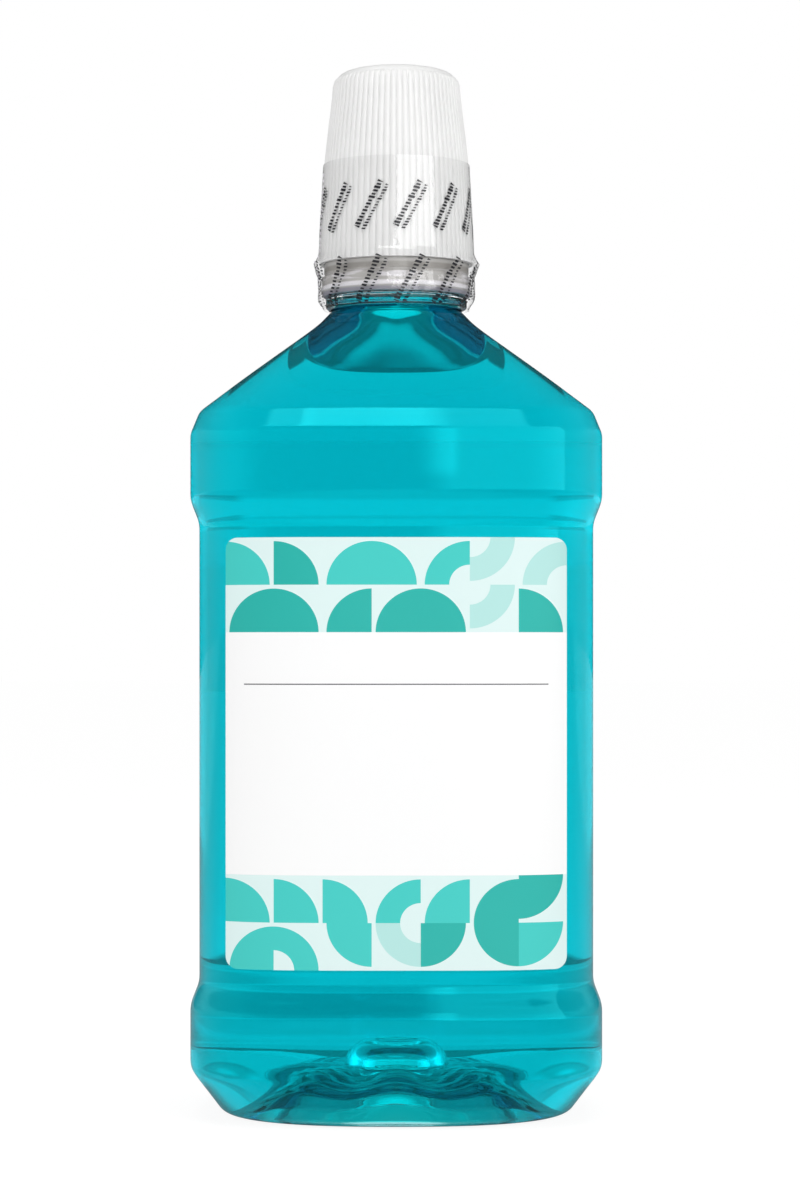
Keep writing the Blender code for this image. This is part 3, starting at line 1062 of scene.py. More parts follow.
    def finish(self) -> list[Knot]:
        """Outside of the neck: bead and plain wall up to the lip.

        Returns:
            The profile.
        """
        at = self.heights
        return [
            self.round_knot(at["bead"], self.neck_radius, 0.3 * MM),
            self.round_knot(at["bead"] + 0.2 * MM, self.bead_radius, 0.6 * MM),
            self.round_knot(at["bead_top"], self.bead_radius, 0.6 * MM),
            self.round_knot(at["bead_top"] + 0.2 * MM, self.finish_radius, 0.4 * MM),
            self.round_knot(at["lip"], self.finish_radius, 0.4 * MM),
            self.round_knot(at["lip"], self.bore_radius, 0.4 * MM),
        ]

    def body_profile(self) -> list[Knot]:
        """Fine outside profile of the base, sides and shoulder."""
        return divided(rounded(self.base() + self.side(), 5), 3.0 * MM)

    def wall_at(self, knot: Knot) -> float:
        """Wall thickness: thicker in the middle of the base.

        Args:
            knot: Where.

        Returns:
            The thickness.
        """
        middle = 1.0 - min(1.0, knot.half_width / self.bumper_half[0])
        low = 1.0 - min(1.0, knot.z / (2 * self.punt))
        return self.wall + (self.base_wall - self.wall) * middle * low * self.base_gain

    def inside(self, extra: float) -> tuple[list[Knot], list[Knot]]:
        """Fine inside profile.

        Args:
            extra: How far it is moved out into the wall.

        Returns:
            The bore, and the body below it.
        """
        body = inset(self.body_profile(), lambda knot: self.wall_at(knot) - extra, self.inner_rib_share)
        body = [knot for knot in body if knot.z < self.heights["neck"] - 1.0 * MM]
        turn = self.round_knot(self.heights["bead"], self.bore_radius + extra, 1.5 * MM)
        return rounded([*body[-2:], turn, replace(turn, z=self.heights["lip"])], 5)[1:-1], body

    def rings(self, knots: Iterable[Knot]) -> list[list[Vector]]:
        """Rings of points on knots."""
        return [knot.ring(self.facets, self.ribs) for knot in knots]

    def build(self) -> None:
        """Build the wall, the thread and the liquid."""
        outer = self.body_profile() + rounded([self.side()[-1], *self.finish()], 4)[1:]
        bore, body = self.inside(0.0)
        inner = body[:-1] + bore + [self.round_knot(self.heights["lip"] - self.lip_step, self.bore_radius)]
        shape = Shape()
        shape.close_ends(shape.skin(self.rings(outer + inner[::-1])))
        seat(shape.piece("bottle_wall", ClearPet()), Body.BOTTLE, Slot.PET, "bottle")
        root = self.finish_radius + HAIR
        crest = self.finish_radius + self.thread_depth
        size = (root, crest, self.thread_start, self.thread_turns)
        Thread("neck_thread", Body.BOTTLE, Slot.PET, ClearPet(), *size).build()
        self.build_liquid()

    def build_liquid(self) -> None:
        """Build the liquid, which reaches a hair into the wall so that no air shows between."""
        bore, body = self.inside(self.overlap)
        level = self.heights["liquid"]
        radius = self.bore_radius + self.overlap
        sides = body[:-1] + [knot for knot in bore if knot.z < level - self.meniscus_start]
        sides.append(self.round_knot(level, radius))
        shape = Shape()
        loops = shape.skin(self.rings(sides))
        width, drop = self.meniscus
        surface = self.rings([self.round_knot(level - drop, radius - width)])
        loops += shape.skin([[shape.points[number] for number in loops[-1]], *surface])[1:]
        shape.close_ends(loops)
        seat(shape.piece("mouthwash_fill", TealLiquid()), Body.BOTTLE, Slot.LIQUID, "mouthwash")


@dataclass
class Thread:
    """Single right-handed screw thread, as a bar that runs round the axis and tapers at its ends."""

    name: str
    body: Body
    slot: Slot
    finish: Finish
    root: float
    crest: float
    start: float
    turns: float
    lead: float = 0.00423
    root_width: float = 0.0017
    crest_width: float = 0.0007
    run_out: float = 0.09
    least_height: float = 0.15
    steps: int = 96

    def build(self) -> None:
        """Build the bar. A crest inside the root makes an inner thread."""
        shape = Shape()
        rings = []
        count = round(self.steps * self.turns)
        for step in range(count + 1):
            turn = TAU * self.turns * step / count
            ends = min(step, count - step) / (self.run_out * count)
            height = min(1.0, self.least_height + ends)
            middle = self.start + self.lead * turn / TAU
            crest = blend(self.root, self.crest, height)
            corners = (
                (self.root, -self.root_width / 2),
                (crest, -self.crest_width / 2),
                (crest, self.crest_width / 2),
                (self.root, self.root_width / 2),
            )
            rings.append([spot(radius, turn, middle + drop * height) for radius, drop in corners])
        if self.crest > self.root:
            rings = [ring[::-1] for ring in rings]
        shape.close_ends(shape.skin(rings))
        seat(shape.piece(self.name, self.finish), self.body, self.slot)


@dataclass
class FrontLabel:
    """Self-adhesive label bent round the front panel."""

    body: BottleBody
    side_margin: float = 0.0084
    foot_margin: float = 0.0055
    top_margin: float = 0.0047
    corner: float = 0.0032
    corner_steps: int = 10
    thickness: float = 0.00012
    lift: float = 0.00004
    columns: int = 120

    def depth_at(self, across: float, lift: float) -> float:
        """How far the front panel stands forward at a place across it.

        Args:
            across: The place.
            lift: Distance out from the panel.

        Returns:
            The place's Y.
        """
        width, depth = (half - self.body.panel_inset + lift for half in self.body.bumper_half)
        square = self.body.squareness
        return -depth * (1 - abs(across / width) ** square) ** (1 / square)

    def drop_at(self, distance: float) -> float:
        """How far the corner's arc takes the edge down at a distance from the side."""
        short = max(self.corner - distance, 0.0)
        return self.corner - math.sqrt(max(self.corner**2 - short**2, 0.0))

    def build(self) -> None:
        """Build the label as a thin closed sheet."""
        foot = self.body.heights["panel_foot"] + self.foot_margin
        top = self.body.heights["panel_top"] - self.top_margin
        half = self.body.bumper_half[0] - self.body.panel_inset - self.side_margin
        turns = [math.pi / 2 * step / self.corner_steps for step in range(self.corner_steps)]
        arc = [self.corner * (1 - math.cos(turn)) for turn in turns]
        start = half - self.corner
        middle = [blend(-start, start, step / self.columns) for step in range(self.columns + 1)]
        places = [part - half for part in arc] + middle + [half - part for part in reversed(arc)]
        face_lift = self.lift + self.thickness
        edges = ((foot, 1, self.lift), (foot, 1, face_lift), (top, -1, face_lift), (top, -1, self.lift))
        shape = Shape()
        rows = []
        for height, sign, lift in edges:
            drops = ((across, sign * self.drop_at(half - abs(across))) for across in places)
            row = [Vector((across, self.depth_at(across, lift), height + drop)) for across, drop in drops]
            rows.append(row)
        loops = shape.skin(rows, closed=False)
        for index in range(len(places) - 1):
            corners = (loops[3][index], loops[3][index + 1], loops[0][index + 1], loops[0][index])
            shape.add_face(corners, foot)
        shape.add_face([loop[0] for loop in loops], foot)
        shape.add_face([loop[-1] for loop in loops][::-1], foot)
        sheet = shape.piece("label_sheet", LabelPrint(foot=foot, top=top, half_width=half))
        # The back faces take the backing, whose glow is painted light.
        sheet.data.materials.append(LABEL_BACKING_PAINTED_GLOW.material())
        for polygon in sheet.data.polygons:
            if polygon.normal.y > 0.5:
                polygon.material_index = 1
        seat(sheet, Body.BOTTLE, Slot.LABEL, "front_label")


def start_tree(name: str, **inputs: str) -> tuple[Board, list[Wire]]:
    """Start a Geometry Nodes tree.

    Args:
        name: The tree's name.
        inputs: Kinds of its inputs between Geometry and Material, by their names.

    Returns:
        The tree's board, and its inputs in order: geometry, the named ones, material.
    """
    tree = bpy.data.node_groups.new(name, "GeometryNodeTree")
    kinds = {"Geometry": "Geometry", **inputs, "Material": "Material"}
    for label, kind in kinds.items():
        tree.interface.new_socket(label, in_out="INPUT", socket_type=f"NodeSocket{kind}")
    tree.interface.new_socket("Geometry", in_out="OUTPUT", socket_type="NodeSocketGeometry")
    board = Board(tree)
    return board, board.wires("NodeGroupInput")[: len(kinds)]


def spread(board: Board, points: Wire, copy: Wire, material: Wire, turn: Wire | None = None) -> None:
    """Set a copy on each point, make the copies real, dress them and send them out.

    Args:
        board: The tree's nodes.
        points: Where the copies go.
        copy: What is copied.
        material: What the copies are made of.
        turn: How each copy is turned, if it is.
    """
    given = {"Points": points, "Instance": copy, "Rotation": turn}
    copies = board.wire("GeometryNodeInstanceOnPoints", given)
    real = board.wire("GeometryNodeRealizeInstances", {0: copies})
    dressed = board.wire("GeometryNodeSetMaterial", {"Geometry": real, "Material": material})
    board.node("NodeGroupOutput", {0: dressed})


def ring_tree(name: str) -> bpy.types.GeometryNodeTree:
    """Geometry Nodes tree that sets copies of its input in a ring round the Z axis.

    Args:
        name: The tree's name.

    Returns:
        A tree with the inputs Count and Material.
    """
    board, (rib, count, material) = start_tree(name, Count="Int")
    turns = board.wire("GeometryNodeInputIndex") * TAU / count
    rotation = board.wire("ShaderNodeCombineXYZ", {2: turns})
    spread(board, board.wire("GeometryNodePoints", {"Count": count}), rib, material, rotation)
    return board.tree


def dashes_tree(name: str) -> bpy.types.GeometryNodeTree:
    """Geometry Nodes tree that sets a small upright bar on each point of its input.

    Args:
        name: The tree's name.

    Returns:
        A tree with the inputs Width, Length and Material.
    """
    board, (row, width, length, material) = start_tree(name, Width="Float", Length="Float")
    thickness = width * 0.6
    size = board.wire("ShaderNodeCombineXYZ", {0: thickness, 1: width, 2: length})
    given = {"Size": size, "Vertices X": 2, "Vertices Y": 2, "Vertices Z": 3}
    bar = board.wire("GeometryNodeMeshCube", given)
    spread(board, board.wire("GeometryNodeMeshToPoints", {"Mesh": row}), bar, material)
    return board.tree


def grow(piece: bpy.types.Object, tree: bpy.types.GeometryNodeTree, **inputs: Any) -> None:
    """Run a Geometry Nodes tree on a piece and keep its result as a plain mesh.

    Args:
        piece: The object that holds the tree's input geometry.
        tree: The tree.
        inputs: Values for its named inputs.
    """
    modifier = piece.modifiers.new(tree.name, "NODES")
    modifier.node_group = tree
    for item in tree.interface.items_tree:
        if item.in_out == "INPUT" and item.name in inputs:
            modifier[item.identifier] = inputs[item.name]
    graph = bpy.context.evaluated_depsgraph_get()
    mesh = bpy.data.meshes.new_from_object(piece.evaluated_get(graph), depsgraph=graph)
    piece.modifiers.remove(modifier)
    piece.data = mesh


@dataclass
class RibbedShell:
    """Outer shell of the cap: a smooth tapered wall with a ring of fine ribs on it.

    The side's table gives the taper's share at shares of the height. The ends' table
    gives a rib's height where it runs out at shares of the crown.
    """

    top_radius: float = 0.0175
    rib_depth: float = 0.0004
    rib_gain: float = 1.3
    rib_share: float = 0.86
    rib_power: float = 0.7
    rib_root: float = 0.0002
    rib_ends: tuple[Pair, ...] = ((0.35, 0.7), (0.6, 0.15))
    rib_steps: int = 6
    rib_levels: int = 16
    rib_sharp: float = 60.0
    wall_levels: int = 24
    bore_levels: int = 6
    skin: float = 0.0013
    crown_height: float = 0.0040
    crown_rounding: float = 0.0050
    crown_steps: int = 8
    top_thickness: float = 0.0013
    bore: float = 0.0200
    step_height: float = 0.2432
    ribs: int = 70
    facets: int = 140
    side: tuple[Pair, ...] = (
        (0.0, 0.0),
        (0.22, 0.13),
        (0.41, 0.27),
        (0.57, 0.38),
        (0.775, 0.68),
        (0.92, 0.92),
        (1.0, 1.0),
    )

    def __post_init__(self) -> None:
        """Read the shell's place from the frame."""
        low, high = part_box("cap_shell")
        self.foot, self.top, self.foot_radius = low.z, high.z, high.x
        self.crown = self.top - self.crown_height

    def radius_at(self, height: float) -> float:
        """Radius over the ribs at a height, straight between the side's shares.

        Args:
            height: The height.

        Returns:
            The radius.
        """
        share = min(max((height - self.foot) / (self.crown - self.foot), 0.0), 1.0)
        pairs = list(zip(self.side, self.side[1:]))
        (low, low_taper), (high, high_taper) = next((p for p in pairs if share <= p[1][0]), pairs[-1])
        taper = blend(low_taper, high_taper, (share - low) / (high - low))
        return blend(self.foot_radius, self.top_radius, taper)

    def levels(self, foot: float, steps: int) -> list[float]:
        """Even heights from a foot to the crown."""
        return [blend(foot, self.crown, step / steps) for step in range(steps + 1)]

    def wall(self) -> Shape:
        """Smooth wall under the ribs, with the crown, the ceiling and the stepped bore.

        Returns:
            The shape.
        """
        outer = [(self.radius_at(z) - self.rib_depth, z) for z in self.levels(self.foot, self.wall_levels)]
        flat = self.top_radius - self.rib_depth
        for step in range(self.crown_steps):
            turn = math.pi / 2 * (step + 1) / self.crown_steps
            radius = flat - self.crown_rounding * (1 - math.cos(turn))
            outer.append((radius, self.crown + self.crown_height * math.sin(turn)))
        inner = [(self.bore, self.foot), (self.bore, self.step_height)]
        bore = self.levels(self.step_height, self.bore_levels)
        inner += [(self.radius_at(z) - self.skin, z) for z in bore]
        inner.append((self.top_radius - self.crown_rounding, self.top - self.top_thickness))
        return turned(inner[::-1] + outer, self.facets, False)

    def rib_ring(self, z: float, strength: float) -> list[Vector]:
        """Outline of a rib at a height: a half round on two root points.

        Args:
            z: The height.
            strength: Share of the rib's full height.

        Returns:
            The outline's points.
        """
        radius = self.radius_at(z)
        if z > self.crown:
            lean = math.asin((z - self.crown) / self.crown_height)
            radius = self.top_radius - self.crown_rounding * (1 - math.cos(lean))
        half = TAU * self.foot_radius / self.ribs / 2 * self.rib_share * radius / self.foot_radius
        base = radius - self.rib_depth * self.rib_gain
        height = self.rib_depth * self.rib_gain * strength
        turns = [math.pi * step / self.rib_steps for step in range(self.rib_steps + 1)]
        ring = [(base + height * math.sin(turn) ** self.rib_power, -half * math.cos(turn)) for turn in turns]
        ring += [(base - self.rib_root, half * side) for side in (0.5, -0.5)]
        return [Vector((*point, z)) for point in ring]

    def rib(self) -> Shape:
        """One rib: a half-round bar that follows the wall and runs out over the crown.

        Returns:
            The shape.
        """
        levels = [(z, 1.0) for z in self.levels(self.foot, self.rib_levels)]
        levels += [(self.crown + self.crown_height * share, strength) for share, strength in self.rib_ends]
        shape = Shape()
        shape.close_ends(shape.skin([self.rib_ring(*level) for level in levels]))
        return shape

    def build(self) -> None:
        """Build the wall and its ribs."""
        finish = MouldedPlastic()
        seat(self.wall().piece("cap_wall", finish), Body.CAP, Slot.SHELL, "cap_shell")
        rib = self.rib().piece("cap_ribs", finish, self.rib_sharp)
        grow(rib, ring_tree("ring_of_ribs"), Count=self.ribs, Material=finish.material())
        seat(rib, Body.CAP, Slot.SHELL)


@dataclass
class DosingCup:
    """Inner cup of the cap and the liner under its ledge.

    The collar's table holds steps in from its radius, rises from its foot and roundings
    in millimetres.
    """

    body: BottleBody
    skirt_bore: float = 0.0187
    skirt_radius: float = 0.0197
    collar_radius: float = 0.0208
    collar_height: float = 0.0075
    collar: tuple[Triple, ...] = (
        (0.6, 0.0, 0.3),
        (0.3, 1.3, 0.2),
        (0.0, 1.5, 0.3),
        (0.0, 2.4, 0.3),
        (0.4, 2.7, 0.3),
        (0.2, 5.2, 0.3),
        (1.2, 5.5, 0.2),
        (1.2, 6.1, 0.2),
        (0.9, 6.3, 0.2),
    )
    collar_edge: float = 0.0009
    lip: float = 0.0012
    ledge: float = 0.2417
    ledge_top: float = 0.2429
    cup_foot: float = 0.0168
    cup_top: float = 0.0135
    shoulder_share: float = 0.93
    middle: float = 0.00005
    wall: float = 0.0010
    rounding: float = 0.0027
    facets: int = 120
    thread_clearance: float = 0.00035
    thread_start: float = 0.2269
    thread_turns: float = 2.0
    liner_clearance: float = 0.0003
    liner_edge: float = 0.00015
    liner_facets: int = 96

    def outline(self) -> list[Triple]:
        """Radii, heights and roundings, down the inside and up the outside.

        Returns:
            The outline.
        """
        low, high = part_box("dosing_cup")
        foot, top = low.z - self.lip, high.z
        collar_top = foot + self.lip + self.collar_height
        ceiling = top - self.wall
        shoulder = blend(self.cup_foot, self.cup_top, self.shoulder_share)
        return [
            (self.middle, ceiling, 0.0),
            (self.cup_top - self.wall, ceiling, 1.7 * MM),
            (self.cup_foot - self.wall, self.ledge, 0.5 * MM),
            (self.skirt_bore, self.ledge, 0.4 * MM),
            (self.skirt_bore, foot, 0.3 * MM),
            *((self.collar_radius - step * MM, foot + up * MM, soft * MM) for step, up, soft in self.collar),
            (self.collar_radius - self.collar_edge, collar_top, 0.05 * MM),
            (self.skirt_radius, collar_top, 0.2 * MM),
            (self.skirt_radius, self.ledge_top, 0.3 * MM),
            (self.cup_foot, self.ledge_top, 0.4 * MM),
            (shoulder, top - self.rounding, 1.0 * MM),
            (self.cup_top, top, 2.4 * MM),
            (self.middle, top, 0.0),
        ]

    def build(self) -> None:
        """Build the cup, its thread and the liner."""
        cup = NaturalPlastic()
        shape = turned(soft_outline(self.outline()), self.facets, False)
        seat(shape.piece("cup_moulding", cup), Body.CUP, Slot.CUP, "dosing_cup")
        root = self.skirt_bore - HAIR
        crest = self.body.finish_radius + self.thread_clearance
        size = (root, crest, self.thread_start, self.thread_turns)
        Thread("cup_thread", Body.CAP, Slot.CUP, cup, *size).build()
        low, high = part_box("seal_liner")
        inner = self.body.bore_radius + self.liner_clearance
        edge = self.liner_edge
        ring = [
            (high.x - edge, low.z),
            (high.x, low.z + edge),
            (high.x, high.z - edge),
            (high.x - edge, high.z),
            (inner + edge, high.z),
            (inner, high.z - edge),
            (inner, low.z + edge),
            (inner + edge, low.z),
        ]
        liner = turned(ring, self.liner_facets, True).piece("liner_ring", LINER_FOAM)
        seat(liner, Body.LINER, Slot.LINER, "seal_liner")


@dataclass
class ShrinkBand:
    """Clear shrink band: snug on the shell, loose under its foot, drawn in at the bead.

    Each wave of the wrinkles has its height, waves a turn, phase and twist by height.
    """

    shell: RibbedShell
    bead_radius: float = 0.0194
    bead_gap: float = 0.0005
    clearance: float = 0.0002
    thickness: float = 0.0001
    bulge: float = 0.0013
    bulge_rise: float = 0.0030
    bulge_fall: float = 3.5
    bulge_power: float = 1.5
    drawn_from: float = 0.75
    foot_drop: float = 0.0002
    rows: int = 60
    facets: int = 240
    wrinkles: float = 0.00011
    wrinkle_rise: float = 0.0040
    wrinkle_fade: float = 0.0060
    least_wrinkle: float = 0.08
    waves: tuple[Four, ...] = ((1.0, 11, 0.0, 900), (0.6, 23, 0.0, -1400), (0.5, 41, 2.0, 500))
    dash_turn: float = 3.33
    dash_pitch: float = 0.0016
    dash_width: float = 0.0003
    dash_length: float = 0.0008

    def __post_init__(self) -> None:
        """Read the film's ends from the frame."""
        low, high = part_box("tamper_band")
        self.foot, self.top = low.z - self.foot_drop, high.z

    def radius_at(self, height: float) -> float:
        """Mean radius of the film at a height.

        Args:
            height: The height.

        Returns:
            The radius.
        """
        shell_foot = self.shell.foot
        if height >= shell_foot:
            share = max((shell_foot + self.bulge_rise - height) / self.bulge_rise, 0.0)
            return self.shell.radius_at(height) + self.clearance + self.bulge * share**self.bulge_power
        share = (shell_foot - height) / (shell_foot - self.foot)
        wide = self.shell.foot_radius + self.clearance
        drawn = self.bead_radius + self.bead_gap
        fall = max(share - self.drawn_from, 0.0) / (1 - self.drawn_from)
        bulge = self.bulge * max(1 - share * self.bulge_fall, 0.0)
        return blend(wide + bulge, drawn, fall * fall * (3 - 2 * fall))

    def point(self, turn: float, height: float, lift: float) -> Vector:
        """Point on the wrinkled film, with stronger wrinkles under the shell than on it.

        Args:
            turn: Turn round the axis.
            height: Height.
            lift: Distance out from the film's inner side.

        Returns:
            The point.
        """
        loose = (self.shell.foot + self.wrinkle_rise - height) / self.wrinkle_fade
        loose = min(max(loose, self.least_wrinkle), 1.0)
        wave = 0.0
        for crest, count, phase, twist in self.waves:
            wave += crest * math.sin(count * turn + phase + height * twist)
        return spot(self.radius_at(height) + self.wrinkles * loose * wave + lift, turn, height)

    def build(self) -> None:
        """Build the film as a thin closed sleeve."""
        levels = [blend(self.foot, self.top, step / self.rows) for step in range(self.rows + 1)]
        turns = [TAU * index / self.facets for index in range(self.facets)]
        shape = Shape()
        sides = [(z, self.thickness) for z in levels] + [(z, 0.0) for z in levels[::-1]]
        shape.close_ring(shape.skin([[self.point(turn, *side) for turn in turns] for side in sides]))
        seat(shape.piece("shrink_sleeve", ShrinkFilm()), Body.BAND, Slot.FILM, "tamper_band")
        self.build_perforation()

    def build_perforation(self) -> None:
        """Build the upright row of torn lips at the film's side."""
        count = int((self.top - self.foot) / self.dash_pitch) - 1
        levels = [self.foot + self.dash_pitch * (index + 1) for index in range(count)]
        row = Shape()
        row.add_ring(self.point(self.dash_turn, z, self.thickness) for z in levels)
        lips = row.piece("film_perforation", TORN_FILM)
        size = {"Width": self.dash_width, "Length": self.dash_length}
        grow(lips, dashes_tree("upright_dashes"), **size, Material=TORN_FILM.material())
        seat(lips, Body.BAND, Slot.FILM)


@dataclass(frozen=True)
class Backdrop:
    """Tone of what stands behind the bottle, for rays that have passed through it. On the floor it is painted
    light: painted shade in bands behind the bottle, with a painted lit spot in the widest band.

    Each change has its start and stop, each band its start, stop and soft edge, and where
    one more number follows, it is the size. The sky's are parts of a direction of length 1,
    and the floor's are in metres.
    """

    level: float = 0.89
    horizon: Pair = (0.03, 0.14)
    left: Triple = (0.14, 0.26, 0.24)
    right: Triple = (0.2, 0.35, 0.15)
    edges: Triple = (0.46, 0.76, 1.3)
    flag_side: Triple = (0.14, 0.50, 0.05)
    flag_rise: Four = (0.118, 0.190, 0.012, 0.32)
    bright: Triple = (0.14, 0.16, 0.17)
    top: Triple = (0.28, 0.36, 0.62)
    shade: Four = (0.235, 0.415, 0.010, 0.74)
    shade_corner: Pair = (0.420, 0.450)
    spot_place: Pair = (0.001, 0.356)
    spot_half: Pair = (0.012, 0.026)
    spot_edge: Triple = (1.2, 0.1, 0.66)
    near_shade: Triple = (0.06, 0.175, 0.02)
    near_size: float = 0.35
    near_left: Triple = (0.012, 0.0, 0.07)
    shade_strip: Four = (0.17, 0.24, 0.01, 0.28)
    far: Pair = (0.7, 0.9)
    least_square: float = 0.002

    def sides(self, across: Wire, right: Wire | float, far: Wire | float) -> Wire:
        """Tone towards the sides: dimmer at the right, brighter at both far edges.

        Args:
            across: Sideways part of the direction.
            right: Share of the change at the right.
            far: Share of the change at the edges.

        Returns:
            The factor.
        """
        return 1.0 - across.ramp(*self.right) * right + abs(across).ramp(*self.edges) * far

    def sky(self, across: Wire, up: Wire) -> Wire:
        """Tone of the sky in a direction.

        Args:
            across: Its sideways part.
            up: Its upward part.

        Returns:
            The tone.
        """
        high = up.ramp(*self.horizon)
        tone = self.level + up.ramp(*self.bright) - up.ramp(*self.top)
        left = (-across).ramp(*self.left) * high
        flags = abs(across).within(*self.flag_side) * up.within(*self.flag_rise)
        return tone * (self.sides(across, 1.0 - high, 1.0) + left) * (1.0 - flags)

    def ground(self, across: Wire, away: Wire) -> Wire:
        """Tone of the floor at a place behind the bottle: painted shade in bands, with a painted lit spot.

        Args:
            across: Distance to the side.
            away: Distance behind the bottle's middle.

        Returns:
            The tone.
        """
        place = zip((across, away), self.spot_place, self.spot_half)
        squares = [((part - middle) / half) ** 2 for part, middle, half in place]
        lit = (squares[0] + squares[1]).ramp(*self.spot_edge)
        shade = away.within(*self.shade) * (1.0 - (abs(across) + away).ramp(*self.shade_corner))
        near_shade = away.within(*self.near_shade) * (across.ramp(*self.near_left) + self.near_size)
        tone = (self.level - shade * (1.0 - lit)) * (1.0 - near_shade - away.within(*self.shade_strip))
        side = across / (across * across + away * away).most(self.least_square) ** 0.5
        return tone * self.sides(side, 1.0, away.ramp(*self.far))


@dataclass(frozen=True)
class FloorPaper(Finish):
    """Pale floor that is white to the camera and keeps a soft shadow."""

    name = "floor_paper"
    backdrop: Backdrop
    grey: Colour = (0.17, 0.17, 0.17)
    glow: float = 0.91
    sheen: Pair = (0.11, 0.91)
    front: Pair = (0.03, 0.2)
    sides: Pair = (0.1, 0.3)

    def paint(self, board: Board) -> None:
        """Glowing paper: white, and dimmer to reflections and through the bottle.

        Args:
            board: The material's nodes.
        """
        glossy, through = (board.ray(kind) for kind in ("Glossy", "Transmission"))
        across, away, _ = board.place()
        sheen = (-away).ramp(*self.front) * (1.0 - abs(across).ramp(*self.sides))
        lit = glossy * sheen.between(*self.sheen) + (1.0 - glossy) * self.glow
        # Through the bottle the floor shows the backdrop's painted shade and painted lit spot.
        strength = through * self.backdrop.ground(across, away) + (1.0 - through) * lit
        glow = board.wire("ShaderNodeEmission", {"Color": (1.0, 1.0, 1.0), "Strength": strength})
        paper = board.wire("ShaderNodeBsdfDiffuse", {"Color": self.grey})
        both = board.wire("ShaderNodeAddShader", {0: glow, 1: paper})
        board.node("ShaderNodeOutputMaterial", {"Surface": both})


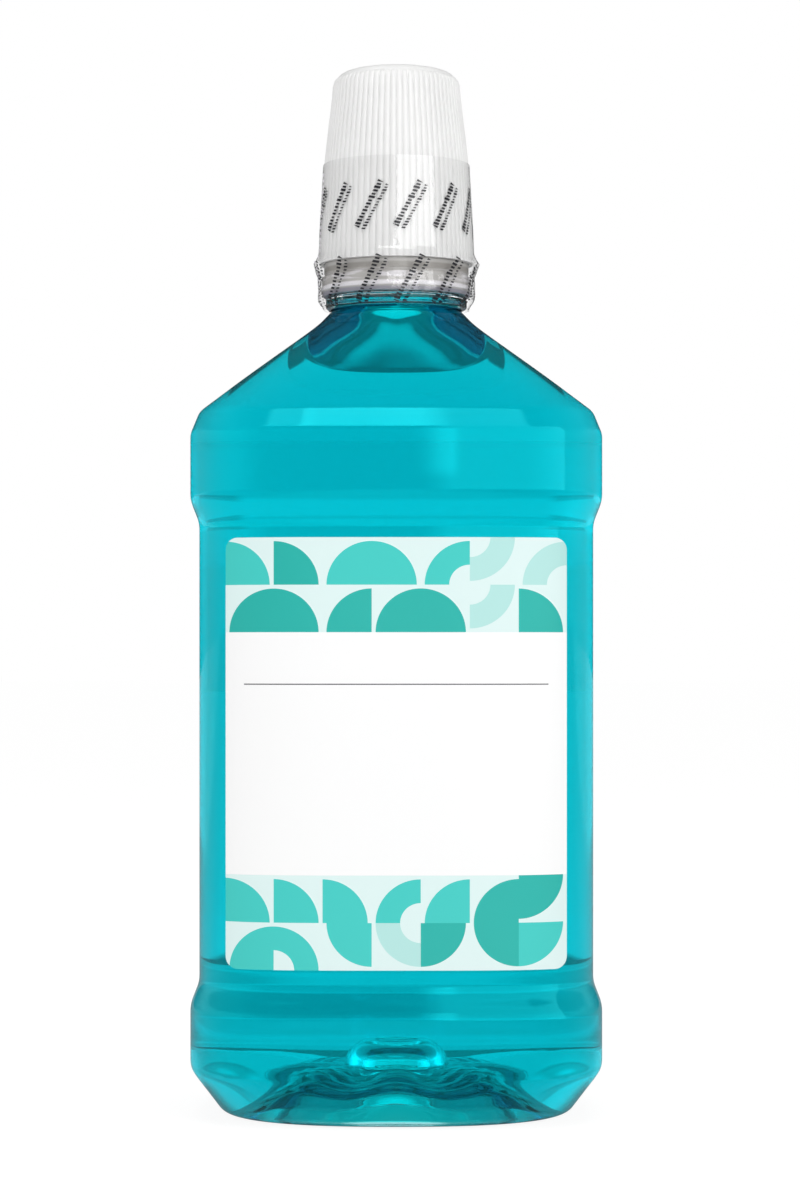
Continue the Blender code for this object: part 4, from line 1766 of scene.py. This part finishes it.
@dataclass
class Studio:
    """Camera, lamps, world and floor.

    A lamp has its name, place, size and power in watts. A panel has the middle's turn and
    rise with its strength, and half its turn and rise with its soft edge.
    """

    eye: Triple = (0.0010, -0.85, 0.126)
    lens: float = 92.5
    sensor: float = 36.0
    rise: float = 0.0417
    floor_reach: float = 12.0
    floor_drop: float = 0.0003
    ambient: float = 0.5
    room: Pair = (0.032, 0.018)
    room_back: Pair = (-0.25, 0.15)
    least_flat: float = 0.01
    bounces: int = 32
    through_bounces: int = 24
    aim: Triple = (0.0, 0.0, 0.13)
    lamps: tuple[tuple[str, Triple, Pair, float], ...] = (
        ("key_right", (0.9, -0.9, 0.75), (0.7, 0.9), 4.9),
        ("fill_left", (-1.0, -0.7, 0.5), (0.5, 0.9), 2.6),
        ("top", (0.0, -0.15, 1.2), (0.9, 0.7), 3.6),
    )
    panels: tuple[tuple[Triple, Triple], ...] = (
        ((0.54, 0.15, 2.6), (0.50, 0.55, 0.03)),
        ((0.035, 0.25, 3.0), (0.010, 0.20, 0.02)),
        ((-0.36, 1.06, 3.4), (0.12, 0.24, 0.10)),
        ((-0.09, 1.06, 6.6), (0.10, 0.28, 0.05)),
        ((0.28, 1.02, 3.0), (0.22, 0.26, 0.08)),
    )
    backdrop: Backdrop = Backdrop()

    def add(self, name: str, data: bpy.types.ID) -> bpy.types.Object:
        """Put an object into the scene.

        Args:
            name: Its name.
            data: What it shows.

        Returns:
            The object.
        """
        made = bpy.data.objects.new(name, data)
        bpy.context.scene.collection.objects.link(made)
        return made

    def camera(self) -> None:
        """Level camera at the photograph's place."""
        data = bpy.data.cameras.new("camera")
        data.lens = self.lens
        data.sensor_width = self.sensor
        data.shift_y = self.rise
        camera = self.add("camera", data)
        camera.location = self.eye
        camera.rotation_euler = (math.pi / 2, 0.0, 0.0)
        bpy.context.scene.camera = camera

    def lamp(self, name: str, place: Triple, size: Pair, power: float) -> None:
        """One soft rectangular lamp that shines on the bottle and isn't seen itself.

        Args:
            name: Its name.
            place: Where it stands.
            size: Its width and height.
            power: Its power in watts.
        """
        data = bpy.data.lights.new(name, "AREA")
        data.shape = "RECTANGLE"
        data.size, data.size_y = size
        data.energy = power
        lamp = self.add(name, data)
        direction = Vector(self.aim) - Vector(place)
        rotation = direction.to_track_quat("-Z", "Y").to_matrix().to_4x4()
        lamp.matrix_world = Matrix.Translation(place) @ rotation
        lamp.visible_camera = lamp.visible_glossy = lamp.visible_transmission = False

    def panel(self, turn: Wire, rise: Wire, middle: Triple, half: Triple) -> Wire:
        """Bright rectangle on the sky.

        Args:
            turn: The direction's turn from the front.
            rise: Its tangent of height.
            middle: The panel's turn, rise and strength.
            half: Half its turn and rise, and its soft edge.

        Returns:
            Its strength in the direction.
        """
        soft = half[2]
        beside, above = (
            (soft - abs(place - centre) + reach).ramp(0.0, soft)
            for place, centre, reach in ((turn, middle[0], half[0]), (rise, middle[1], half[1]))
        )
        return beside * above * middle[2]

    def world(self) -> None:
        """White to the camera, a backdrop through the bottle, and a dark room in reflections."""
        world = bpy.data.worlds.new("studio")
        world.use_nodes = True
        bpy.context.scene.world = world
        board = Board(world.node_tree)
        camera, glossy, through = (board.ray(kind) for kind in ("Camera", "Glossy", "Transmission"))
        across, away, up = board.place("Generated")
        flat = (across * across + away * away) ** 0.5
        turn = board.wire("ShaderNodeMath", {0: across, 1: -away}, operation="ARCTAN2")
        rise = up / flat.most(self.least_flat)
        room = away.ramp(*self.room_back).between(*self.room)
        for middle, half in self.panels:
            room = room + self.panel(turn, rise, middle, half)
        strength = glossy * room + (1.0 - glossy) * self.ambient
        strength = through * self.backdrop.sky(across, up) + (1.0 - through) * strength
        strength = camera + (1.0 - camera) * strength
        light = board.wire("ShaderNodeBackground", {"Color": (1.0, 1.0, 1.0), "Strength": strength})
        board.node("ShaderNodeOutputWorld", {"Surface": light})

    def floor(self) -> None:
        """Wide floor, a hair under the foot."""
        reach = self.floor_reach
        mesh = bpy.data.meshes.new("floor")
        corners = [(-reach, -reach, 0), (reach, -reach, 0), (reach, reach, 0), (-reach, reach, 0)]
        mesh.from_pydata(corners, [], [(0, 1, 2, 3)])
        mesh.materials.append(FloorPaper(self.backdrop).material())
        floor = self.add("floor", mesh)
        floor.location.z = -self.floor_drop

    def build(self) -> None:
        """Set the studio up."""
        self.camera()
        self.world()
        self.floor()
        for lamp in self.lamps:
            self.lamp(*lamp)
        scene = bpy.context.scene
        scene.view_settings.view_transform = "Standard"
        scene.cycles.transmission_bounces = self.through_bounces
        scene.cycles.max_bounces = self.bounces


def main() -> None:
    """Build the studio and every piece in order."""
    logging.basicConfig(level=logging.INFO, format="%(message)s")
    Studio().build()
    body = BottleBody()
    body.build()
    FrontLabel(body).build()
    shell = RibbedShell()
    shell.build()
    DosingCup(body).build()
    ShrinkBand(shell).build()


if __name__ == "__main__":
    main()
